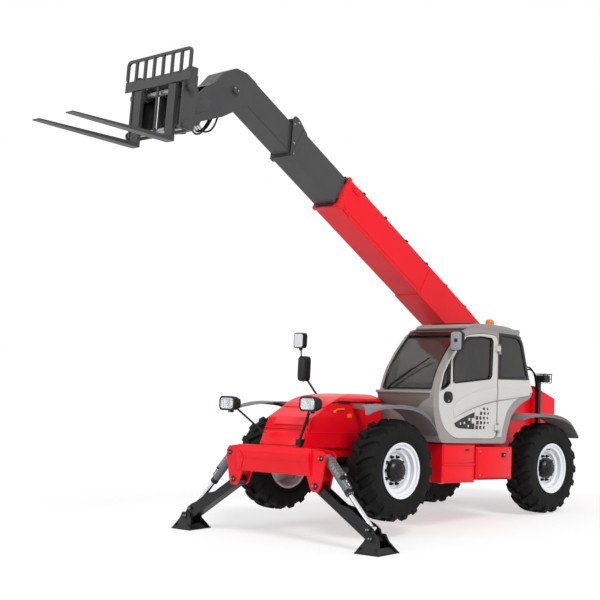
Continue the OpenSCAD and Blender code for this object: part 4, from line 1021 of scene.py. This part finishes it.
class TELE_OT_lamps(bpy.types.Operator):
    """Adds bezels, reflectors and lenses of the lamps"""
    bl_idname = "telehandler.lamps"
    bl_label = "Lamps"

    def execute(self, context):
        bm = bmesh.new()
        for head in LAMPS:
            face = head.y - 0.062

            def disc(back, depth, size, corner, round_edge, material):
                oval_front(bm, (head.x, face + back, head.z), depth, size, corner, round_edge, material, 6)
            disc(0.002, 0.07, (0.264, 0.164), 0.05, 0.006, 0)
            disc(0.06, 0.062, (0.228, 0.134), 0.05, 0.016, 0)
            for quad in ring(oval(0.276, 0.176, 0.054, 6), oval(0.232, 0.134, 0.038, 6)):
                plate(bm, [(head.x + a, face + 0.004, head.z + b) for a, b in quad], (0, -0.018, 0), 0, 0)
            disc(0.001, -0.003, (0.232, 0.134), 0.038, 0, 1)
            disc(-0.004, -0.012, (0.23, 0.132), 0.037, 0.005, 2)
            for k in range(7):
                x = head.x - 0.084 + 0.028 * k
                rod(bm, (x, face - 0.0165, head.z - 0.058), (x, face - 0.0165, head.z + 0.058), 0.003, 8, 2)
            for x in (-0.06, 0.06):
                lathe(bm, [(0, 0.004), (0.034, 0.002), (0.05, -0.002), (0, -0.002)], (head.x + x, face - 0.003,
                    head.z), (0, -1, 0), 24, 1)
            # Cooling ribs behind and the bracket that holds the lamp to its stalk
            for k in range(5):
                block(bm, (head.x - 0.092 + 0.042 * k, face + 0.112, head.z - 0.05), (head.x - 0.076 + 0.042 * k,
                    face + 0.134, head.z + 0.05), 0.003, 0)
            block(bm, (head.x - 0.034, head.y - 0.02, head.z - 0.112), (head.x + 0.034, head.y + 0.02,
                head.z - 0.074), 0.006, 0)
            bolt(bm, (head.x, head.y - 0.02, head.z - 0.094), (0, -1, 0), 0.009, 4)
        # Tail lamps: red and amber lenses on the rear weight
        for s in (-1, 1):
            block(bm, (s * 0.305 - 0.05, 4.336, 1.372), (s * 0.305 + 0.05, 4.348, 1.424), 0.004, 5)
            block(bm, (s * 0.305 - 0.05, 4.336, 1.316), (s * 0.305 + 0.05, 4.348, 1.368), 0.004, 3)
        # Work lamp on the rear post
        lathe(bm, [(0, 0.01), (0.024, 0.006), (0.036, 0), (0, -0.002)], (0.45, 3.982, 1.85), (0, 1, 0), 24, 1)
        block(bm, (0.395, 3.979, 1.812), (0.505, 3.988, 1.888), 0.004, 2)
        piece("lamp_trim", bm, "chassis", ["black_plastic", "lamp_bowl", "lamp_lens", "amber_lens",
            "plated_steel", "red_lens"])
        return {"FINISHED"}


class TELE_OT_mirror_trim(bpy.types.Operator):
    """Adds mirror glasses, moulded backs and stalk clamps"""
    bl_idname = "telehandler.mirror_trim"
    bl_label = "Mirror trim"

    def execute(self, context):
        bm = bmesh.new()
        for x, y, z, wide, high, way in ((-0.62, 0.11, 1.8225, 0.132, 0.296, 1), (-0.66, -0.01, 2.185, 0.15, 0.172,
                -1), (1.2945, 0.84, 2.205, 0.14, 0.202, 1)):
            oval_front(bm, (x, y - way * 0.001, z), way * 0.004, (wide, high), 0.028, 0, 0)
        # Moulded back of the big mirror and the ball clamps on the stalk
        oval_front(bm, (-0.62, 0.031, 1.8225), -0.01, (0.12, 0.286), 0.045, 0.004, 1)
        for at in ((-0.6, 0.1, 1.69), (-0.638, 0.042, 1.9), (-0.652, 0.028, 2.08), (-0.39, 0.19, 1.39)):
            lathe(bm, [(0, 0.026), (0.018, 0.022), (0.024, 0.01), (0.024, -0.01), (0.018, -0.022), (0, -0.026)], at,
                (-0.1, -0.1, 1), 20, 1)
        # Pale back of the cab mirror with its clamp
        oval_front(bm, (1.2945, 0.781, 2.205), -0.01, (0.162, 0.226), 0.036, 0.005, 2)
        lathe(bm, [(0, 0.016), (0.018, 0.014), (0.024, 0.006), (0.026, -0.004), (0, -0.004)], (1.2945, 0.771, 2.215),
            (0, -1, 0), 20, 1)
        block(bm, (1.15, 0.868, 2.09), (1.176, 0.932, 2.152), 0.008, 1)
        piece("mirror_trim", bm, "chassis", ["mirror_glass", "black_plastic", "mirror_grey"])
        return {"FINISHED"}


class TELE_OT_engine_trim(bpy.types.Operator):
    """Adds the grilles and latches of the engine side"""
    bl_idname = "telehandler.engine_trim"
    bl_label = "Engine trim"

    def execute(self, context):
        bm = bmesh.new()
        for y0, y1 in ((0.9, 1.42), (1.52, 2.26)):
            side(bm, -1.143, -1.139, [(y0, 0.6), (y1, 0.6), (y1, 1.05), (y0, 1.05)], 0, 0)
            for k in range(11):
                z = 0.625 + 0.04 * k
                block(bm, (-1.154, y0 + 0.015, z - 0.01), (-1.138, y1 - 0.015, z + 0.012), 0.004, 0)
        for y in (1.0, 2.15):
            block(bm, (-1.156, y - 0.055, 1.09), (-1.138, y + 0.055, 1.128), 0.006, 1)
            bolt(bm, (-1.156, y, 1.109), (-1, 0, 0), 0.01, 2)
        piece("engine_trim", bm, "chassis", ["black_plastic", "black_enamel", "plated_steel"])
        bm = bmesh.new()
        for k in range(9):
            block(bm, (-0.82, 1.05 + 0.062 * k, 1.482), (-0.52, 1.085 + 0.062 * k, 1.492), 0.003, 0)
        for y in (1.0, 2.15):
            block(bm, (-1.153, y - 0.035, 1.16), (-1.138, y + 0.035, 1.235), 0.006, 1)
        piece("hood_trim", bm, "hood", ["black_plastic", "black_enamel"])
        return {"FINISHED"}


class TELE_OT_side_box_trim(bpy.types.Operator):
    """Adds lids, ribs, latches and the step of the side boxes"""
    bl_idname = "telehandler.side_box_trim"
    bl_label = "Side box trim"

    def execute(self, context):
        bm = bmesh.new()
        side(bm, 1.118, 1.128, [(0.8, 0.7), (1.425, 0.7), (1.425, 0.915), (0.8, 0.915)], 0.004, 0)
        side(bm, 1.118, 1.134, [(0.785, 0.664), (1.438, 0.664), (1.438, 0.69), (0.785, 0.69)], 0.005, 0)
        side(bm, 1.118, 1.126, [(0.84, 0.465), (1.425, 0.465), (1.425, 0.645), (0.8, 0.645), (0.8, 0.53)], 0.004, 0)
        side(bm, 1.138, 1.147, [(1.468, 0.5), (2.19, 0.5), (2.19, 0.88), (1.468, 0.88)], 0.005, 0)
        # Grip hole and latch
        oval_side(bm, 1.1275, 1.1295, (1.273, 0.858), (0.085, 0.026), 0.012, 0, 1)
        oval_side(bm, 1.146, 1.156, (2.024, 0.795), (0.085, 0.06), 0.014, 0.003, 1)
        rod(bm, (1.15, 2.024, 0.795), (1.163, 2.024, 0.795), 0.014, 20, 2)
        for y in (1.52, 2.14):
            for z in (0.54, 0.84):
                bolt(bm, (1.147, y, z), (1, 0, 0), 0.009, 2)
        # Step under the door
        block(bm, (1.06, 1.5, 0.488), (1.15, 2.16, 0.502), 0.004, 1)
        for k in range(9):
            block(bm, (1.07, 1.53 + 0.07 * k, 0.5), (1.144, 1.555 + 0.07 * k, 0.508), 0.002, 1)
        piece("side_box_trim", bm, "chassis", ["red_enamel", "black_plastic", "plated_steel"])
        return {"FINISHED"}


class TELE_OT_boom_trim(bpy.types.Operator):
    """Adds pipes, clamps, end flange and wear pads of the boom"""
    bl_idname = "telehandler.boom_trim"
    bl_label = "Boom trim"

    def execute(self, context):
        pipe = context.scene.telehandler.pipe_radius
        top, low = OUTER_TOP, OUTER_LOW
        bm = bmesh.new()
        for x in (0.11, 0.15, -0.11, -0.15):
            run(bm, [(x, 0.1, top + 0.03), (x, -0.6, top + 0.03), (x, -1.2, top + 0.036), (x, -2.2, top + 0.036),
                (x, -3.0, top + 0.03), (x, -3.9, top + 0.03)], pipe, 0)
        for k in range(8):
            y = -0.3 - 0.5 * k
            for s in (-1, 1):
                block(bm, (s * 0.13 - 0.048, y - 0.022, top - 0.004), (s * 0.13 + 0.048, y + 0.022, top + 0.052),
                    0.008, 1)
                bolt(bm, (s * 0.13, y, top + 0.052), (0, 0, 1), 0.008, 2)
        # Flange round the front end, with wear pads behind it
        for s in (-1, 1):
            block(bm, (s * 0.207 - 0.009, -4.168, low - 0.012), (s * 0.207 + 0.009, -4.11, top + 0.012), 0.005, 3)
            block(bm, (s * 0.185 - 0.012, -4.182, 0.2), (s * 0.185 + 0.012, -4.16, 0.275), 0.004, 1)
            block(bm, (s * 0.185 - 0.012, -4.182, -0.105), (s * 0.185 + 0.012, -4.16, -0.03), 0.004, 1)
            for k in range(4):
                bolt(bm, (s * 0.216, -4.139, -0.07 + 0.1 * k), (s, 0, 0), 0.009, 3)
            # Pad covers on the flanks and the pivot boss
            for z in (low + 0.055, top - 0.055):
                block(bm, (s * 0.2035 - 0.006, -4.04, z - 0.035), (s * 0.2035 + 0.006, -3.9, z + 0.035), 0.004, 3)
                for y in (-4.01, -3.93):
                    bolt(bm, (s * 0.209, y, z), (s, 0, 0), 0.008, 3)
            lathe(bm, [(0, 0.016), (0.03, 0.016), (0.034, 0.01), (0.054, 0.01), (0.06, 0.004), (0.06, -0.002),
                (0, -0.002)], (s * 0.312, 0, 0), (s, 0, 0), 40, 1)
        for z in (low - 0.006, top + 0.006):
            block(bm, (-0.214, -4.168, z - 0.008), (0.214, -4.11, z + 0.008), 0.005, 3)
            block(bm, (-0.15, -4.184, z - 0.01), (0.15, -4.16, z + 0.01), 0.004, 1)
        # Cover over the back end
        block(bm, (-0.19, 0.296, low + 0.012), (0.19, 0.306, top - 0.012), 0.004, 1)
        # Long weld folds on the flanks
        for s in (-1, 1):
            run(bm, [(s * 0.2005, -2.3, low + 0.055), (s * 0.2005, -3.88, low + 0.055)], 0.004, 3, smooth=False)
        piece("boom_pipes", bm, "boom_outer", ["black_enamel", "black_plastic", "plated_steel",
            "red_enamel"], BOOM)
        bm = bmesh.new()
        for s in (-1, 1):
            for y, z in ((-5.215, MID_TOP + 0.03), (-5.265, MID_TOP - 0.03), (-5.09, MID_LOW + 0.03), (-5.15, 0.04)):
                bolt(bm, (s * 0.18, y, z), (s, 0, 0), 0.01, 0)
        # Roller for the hoses between the cheeks
        rod(bm, (-0.172, -5.245, MID_TOP + 0.045), (0.172, -5.245, MID_TOP + 0.045), 0.022, 20, 0)
        for k in range(4):
            x = -0.09 + 0.06 * k
            lathe(bm, [(0.022, -0.02), (0.04, -0.018), (0.034, -0.004), (0.034, 0.004), (0.04, 0.018), (0.022, 0.02)],
                (x, -5.245, MID_TOP + 0.045), (1, 0, 0), 28, 1)
        piece("mid_boom_trim", bm, "boom_mid", ["plated_steel", "black_plastic"], BOOM)
        return {"FINISHED"}


class TELE_OT_head_trim(bpy.types.Operator):
    """Adds pins, hoses and couplings of the gooseneck"""
    bl_idname = "telehandler.head_trim"
    bl_label = "Head trim"

    def execute(self, context):
        bm = bmesh.new()
        for s in (-1, 1):
            pin_head(bm, (s * 0.164, -6.214, -0.048), (s, 0, 0), 0.046, 0, 1)
            # Doubling plate at the foot of the neck
            side(bm, s * 0.141, s * 0.148, [(-6.42, -0.4), (-6.52, -0.44), (-6.62, -0.62), (-6.6, -0.7),
                (-6.5, -0.66), (-6.4, -0.52)], 0.003, 0)
            run(bm, [(s * 0.1425, -4.98, -0.062), (s * 0.1425, -5.95, -0.062)], 0.004, 0, smooth=False)
        # Cap over the knee and the coupling plate under it
        plate(bm, [(-0.138, -6.175, 0.246), (0.138, -6.175, 0.246), (0.138, -5.98, 0.25), (-0.138, -5.98, 0.25)],
            (0, 0, 0.01), 0.003, 0)
        block(bm, (-0.11, -6.425, -0.735), (0.11, -6.385, -0.64), 0.006, 0)
        for k in range(4):
            x = -0.075 + 0.05 * k
            rod(bm, (x, -6.395, -0.7), (x, -6.35, -0.712), 0.015, 6, 1)
            rod(bm, (x, -6.352, -0.711), (x, -6.32, -0.719), 0.011, 16, 1)
        # Hoses that loop from the coupling plate back into the neck
        for k, deep in ((0, 0.01), (3, -0.005)):
            x = -0.075 + 0.05 * k
            run(bm, [(x, -6.325, -0.718), (x, -6.28, -0.735), (x * 1.05, -6.235, -0.7 - deep),
                (x * 1.05, -6.19, -0.64 - deep * 0.6), (x, -6.18, -0.52), (x * 0.9, -6.205, -0.41)], 0.011, 2)
        for k in (1, 2):
            x = -0.075 + 0.05 * k
            run(bm, [(x, -6.325, -0.718), (x, -6.29, -0.728), (x, -6.25, -0.69), (x, -6.225, -0.6),
                (x, -6.23, -0.47)], 0.011, 2)
        piece("head_trim", bm, "boom_inner", ["charcoal_enamel", "plated_steel", "hose_rubber"],
            BOOM)
        return {"FINISHED"}


class TELE_OT_carriage_trim(bpy.types.Operator):
    """Adds bright shafts, collars, guards and pins of the fork carriage"""
    bl_idname = "telehandler.carriage_trim"
    bl_label = "Carriage trim"

    def execute(self, context):
        bm = bmesh.new()
        for y, z, near, far in ((-0.25, 0.26, 0.232, 0.366), (-0.27, -0.18, 0.15, 0.2)):
            for x0, x1 in ((-0.428, -far), (-near, near), (far, 0.428)):
                rod(bm, (x0, y, z), (x1, y, z), 0.0312, 32, 0)
            for s in (-1, 1):
                lathe(bm, [(0, 0.012), (0.026, 0.012), (0.032, 0.006), (0.046, 0.004), (0.046, -0.012), (0, -0.012)],
                    (s * 0.512, y, z), (s, 0, 0), 32, 1)
        for s in (-1, 1):
            pin_head(bm, (s * 0.196, 0, 0), (s, 0, 0), 0.058, 1, 2)
            for y, z in ((0.03, 0.4), (-0.06, 0.46), (0.055, 0.2)):
                bolt(bm, (s * 0.184, y, z), (s, 0, 0), 0.011, 2)
            # Dark guard that closes the frame between its rails; its black stands partly for the coupler frame and
            # partly as painted shade on the boom head behind it
            near, far = sorted((s * 0.186, s * 0.428))
            block(bm, (near, -0.158, -0.104), (far, -0.15, 0.304), 0.002, 2)
            # Locking pins of the forks
            rod(bm, (s * 0.3, -0.235, 0.322), (s * 0.3, -0.235, 0.372), 0.01, 16, 0)
            lathe(bm, [(0, 0.01), (0.016, 0.006), (0.018, 0), (0.016, -0.006), (0, -0.01)], (s * 0.3, -0.235, 0.375),
                (0, 0, 1), 20, 2)
        # Middle bar from the backrest to the lower shaft
        block(bm, (-0.012, -0.325, -0.195), (0.012, -0.301, 0.345), 0.003, 1)
        piece("carriage_trim", bm, "carriage", ["plated_steel", "charcoal_enamel", "black_plastic"],
            CARRIAGE)
        return {"FINISHED"}


class TELE_OT_rear_trim(bpy.types.Operator):
    """Adds the lamp guard, hoses, louvres and lifting eyes at the rear"""
    bl_idname = "telehandler.rear_trim"
    bl_label = "Rear trim"

    def execute(self, context):
        bm = bmesh.new()
        # Wire guard of the work lamp
        loop = [(0.375, 3.84, 1.915), (0.375, 4.02, 1.915), (0.525, 4.02, 1.915), (0.525, 3.84, 1.915),
            (0.375, 3.84, 1.915)]
        run(bm, loop, 0.007, 0, smooth=False)
        for x in (0.385, 0.45, 0.515):
            run(bm, [(x, 4.02, 1.915), (x, 4.02, 1.795), (x, 3.96, 1.788)], 0.006, 0, smooth=False)
        run(bm, [(0.378, 4.022, 1.85), (0.522, 4.022, 1.85)], 0.006, 0, smooth=False)
        # Hoses that arch from the post to the back of the cab
        for k in range(2):
            x, z = 0.385 + 0.03 * k, 0.035 * k
            run(bm, [(x, 3.832, 1.7), (x, 3.815, 1.86 - z), (x, 3.73, 1.985 - z), (x, 3.6, 2.015 - z),
                (x - 0.02, 3.46, 1.985 - z), (x - 0.035, 3.36, 1.9), (x - 0.04, 3.32, 1.8)], 0.012, 1)
        block(bm, (0.362, 3.8, 1.7), (0.44, 3.84, 1.736), 0.005, 0)
        # Louvres at the back of the weight and its lifting eyes
        for k in range(8):
            block(bm, (-0.2, 4.324, 0.86 + 0.045 * k), (0.2, 4.34, 0.882 + 0.045 * k), 0.004, 2)
        for s in (-1, 1):
            lathe(bm, [(0.02, -0.008), (0.04, -0.008), (0.04, 0.008), (0.02, 0.008), (0.02, -0.008)],
                (s * 0.26, 4.05, 1.69), (1, 0, 0), 28, 3)
            block(bm, (s * 0.26 - 0.012, 4.015, 1.63), (s * 0.26 + 0.012, 4.085, 1.668), 0.004, 3)
        piece("rear_trim", bm, "chassis", ["black_enamel", "hose_rubber", "black_plastic",
            "red_enamel"])
        return {"FINISHED"}


class TELE_OT_guard_trim(bpy.types.Operator):
    """Adds the beaded edges and bolts of the mudguards"""
    bl_idname = "telehandler.guard_trim"
    bl_label = "Mudguard trim"

    def execute(self, context):
        front = [(-0.655, 1.275), (-0.48, 1.349), (-0.22, 1.388), (0.04, 1.389), (0.27, 1.353), (0.46, 1.256),
            (0.6, 1.11), (0.638, 1.044)]
        rear = [(2.4, 1.255), (2.58, 1.315), (2.83, 1.343), (3.08, 1.343), (3.33, 1.316), (3.54, 1.244), (3.69, 1.11),
            (3.742, 1.034)]
        bm = bmesh.new()

        def one(bm):
            for path in (front, rear):
                run(bm, [(1.163, y, z - 0.002) for y, z in path], 0.009, 0)
                run(bm, [(0.762, y, z - 0.004) for y, z in path[2:]], 0.007, 0)
            for y, z in ((-0.03, 1.392), (3.13, 1.343)):
                for x in (0.62, 0.72):
                    bolt(bm, (x, y, z - 0.006), (0, 0, 1), 0.01, 1)
        both_sides(bm, one)
        piece("guard_trim", bm, "chassis", ["guard_grey", "plated_steel"])
        return {"FINISHED"}


class TELE_OT_roof_trim(bpy.types.Operator):
    """Adds the roof bars, the beacon foot and the gutter"""
    bl_idname = "telehandler.roof_trim"
    bl_label = "Roof trim"

    def execute(self, context):
        bm = bmesh.new()
        # Guard bars over the roof glass
        for k in range(7):
            y = 1.44 + 0.107 * k
            rod(bm, (CAB_IN + 0.105, y, 2.47), (CAB_OUT - 0.105, y, 2.47), 0.011, 16, 0)
        # Rubber foot and bracket of the beacon
        lathe(bm, [(0, 0.03), (0.056, 0.03), (0.064, 0.02), (0.07, 0), (0, 0)], (0.7, 2.26, 2.438), (0, 0, 1), 36, 1)
        lathe(bm, [(0.046, 0), (0.062, 0.002), (0.064, 0.012), (0.06, 0.018), (0.046, 0.018)], (0.7, 2.26, 2.49),
            (0, 0, 1), 36, 1)
        # Gutter along the roof edge
        for x in (CAB_IN + 0.012, CAB_OUT - 0.012):
            run(bm, [(x, 1.1, 2.35), (x, 1.22, 2.392), (x, 1.36, 2.408), (x, 1.7, 2.405), (x, 2.1, 2.398),
                (x, 2.3, 2.388), (x, 2.36, 2.33)], 0.01, 2)
        piece("roof_trim", bm, "chassis", ["black_enamel", "black_plastic", "cab_taupe"])
        return {"FINISHED"}


CLASSES = [TelehandlerLook, TELE_OT_finishes, TELE_OT_stage, TELE_OT_tyres, TELE_OT_wheel_fittings, TELE_OT_nose_trim,
    TELE_OT_beam_fittings, TELE_OT_stabiliser_fittings, TELE_OT_cab_panels, TELE_OT_door_trim, TELE_OT_wiper,
    TELE_OT_operator_seat, TELE_OT_dash_trim, TELE_OT_lamps, TELE_OT_mirror_trim, TELE_OT_engine_trim,
    TELE_OT_side_box_trim, TELE_OT_boom_trim, TELE_OT_head_trim, TELE_OT_carriage_trim, TELE_OT_rear_trim,
    TELE_OT_guard_trim, TELE_OT_roof_trim]


def operators():
    """Every operator in the order of building."""
    return [c for c in CLASSES if issubclass(c, bpy.types.Operator)]


class TELE_PT_panel(bpy.types.Panel):
    """Lists the steps of building the looks"""
    bl_idname = "TELE_PT_panel"
    bl_label = "Telehandler"
    bl_space_type = "VIEW_3D"
    bl_region_type = "UI"
    bl_category = "Telehandler"

    def draw(self, context):
        look = context.scene.telehandler
        for key in look.bl_rna.properties.keys():
            if key not in ("rna_type", "name"):
                self.layout.prop(look, key)
        for step in operators():
            self.layout.operator(step.bl_idname)


def register():
    for c in [*CLASSES, TELE_PT_panel]:
        bpy.utils.register_class(c)
    bpy.types.Scene.telehandler = bpy.props.PointerProperty(type=TelehandlerLook)


def unregister():
    del bpy.types.Scene.telehandler
    for c in reversed([*CLASSES, TELE_PT_panel]):
        bpy.utils.unregister_class(c)


def main():
    register()
    for step in operators():
        group, name = step.bl_idname.split(".")
        getattr(getattr(bpy.ops, group), name)()


if __name__ == "__main__":
    main()
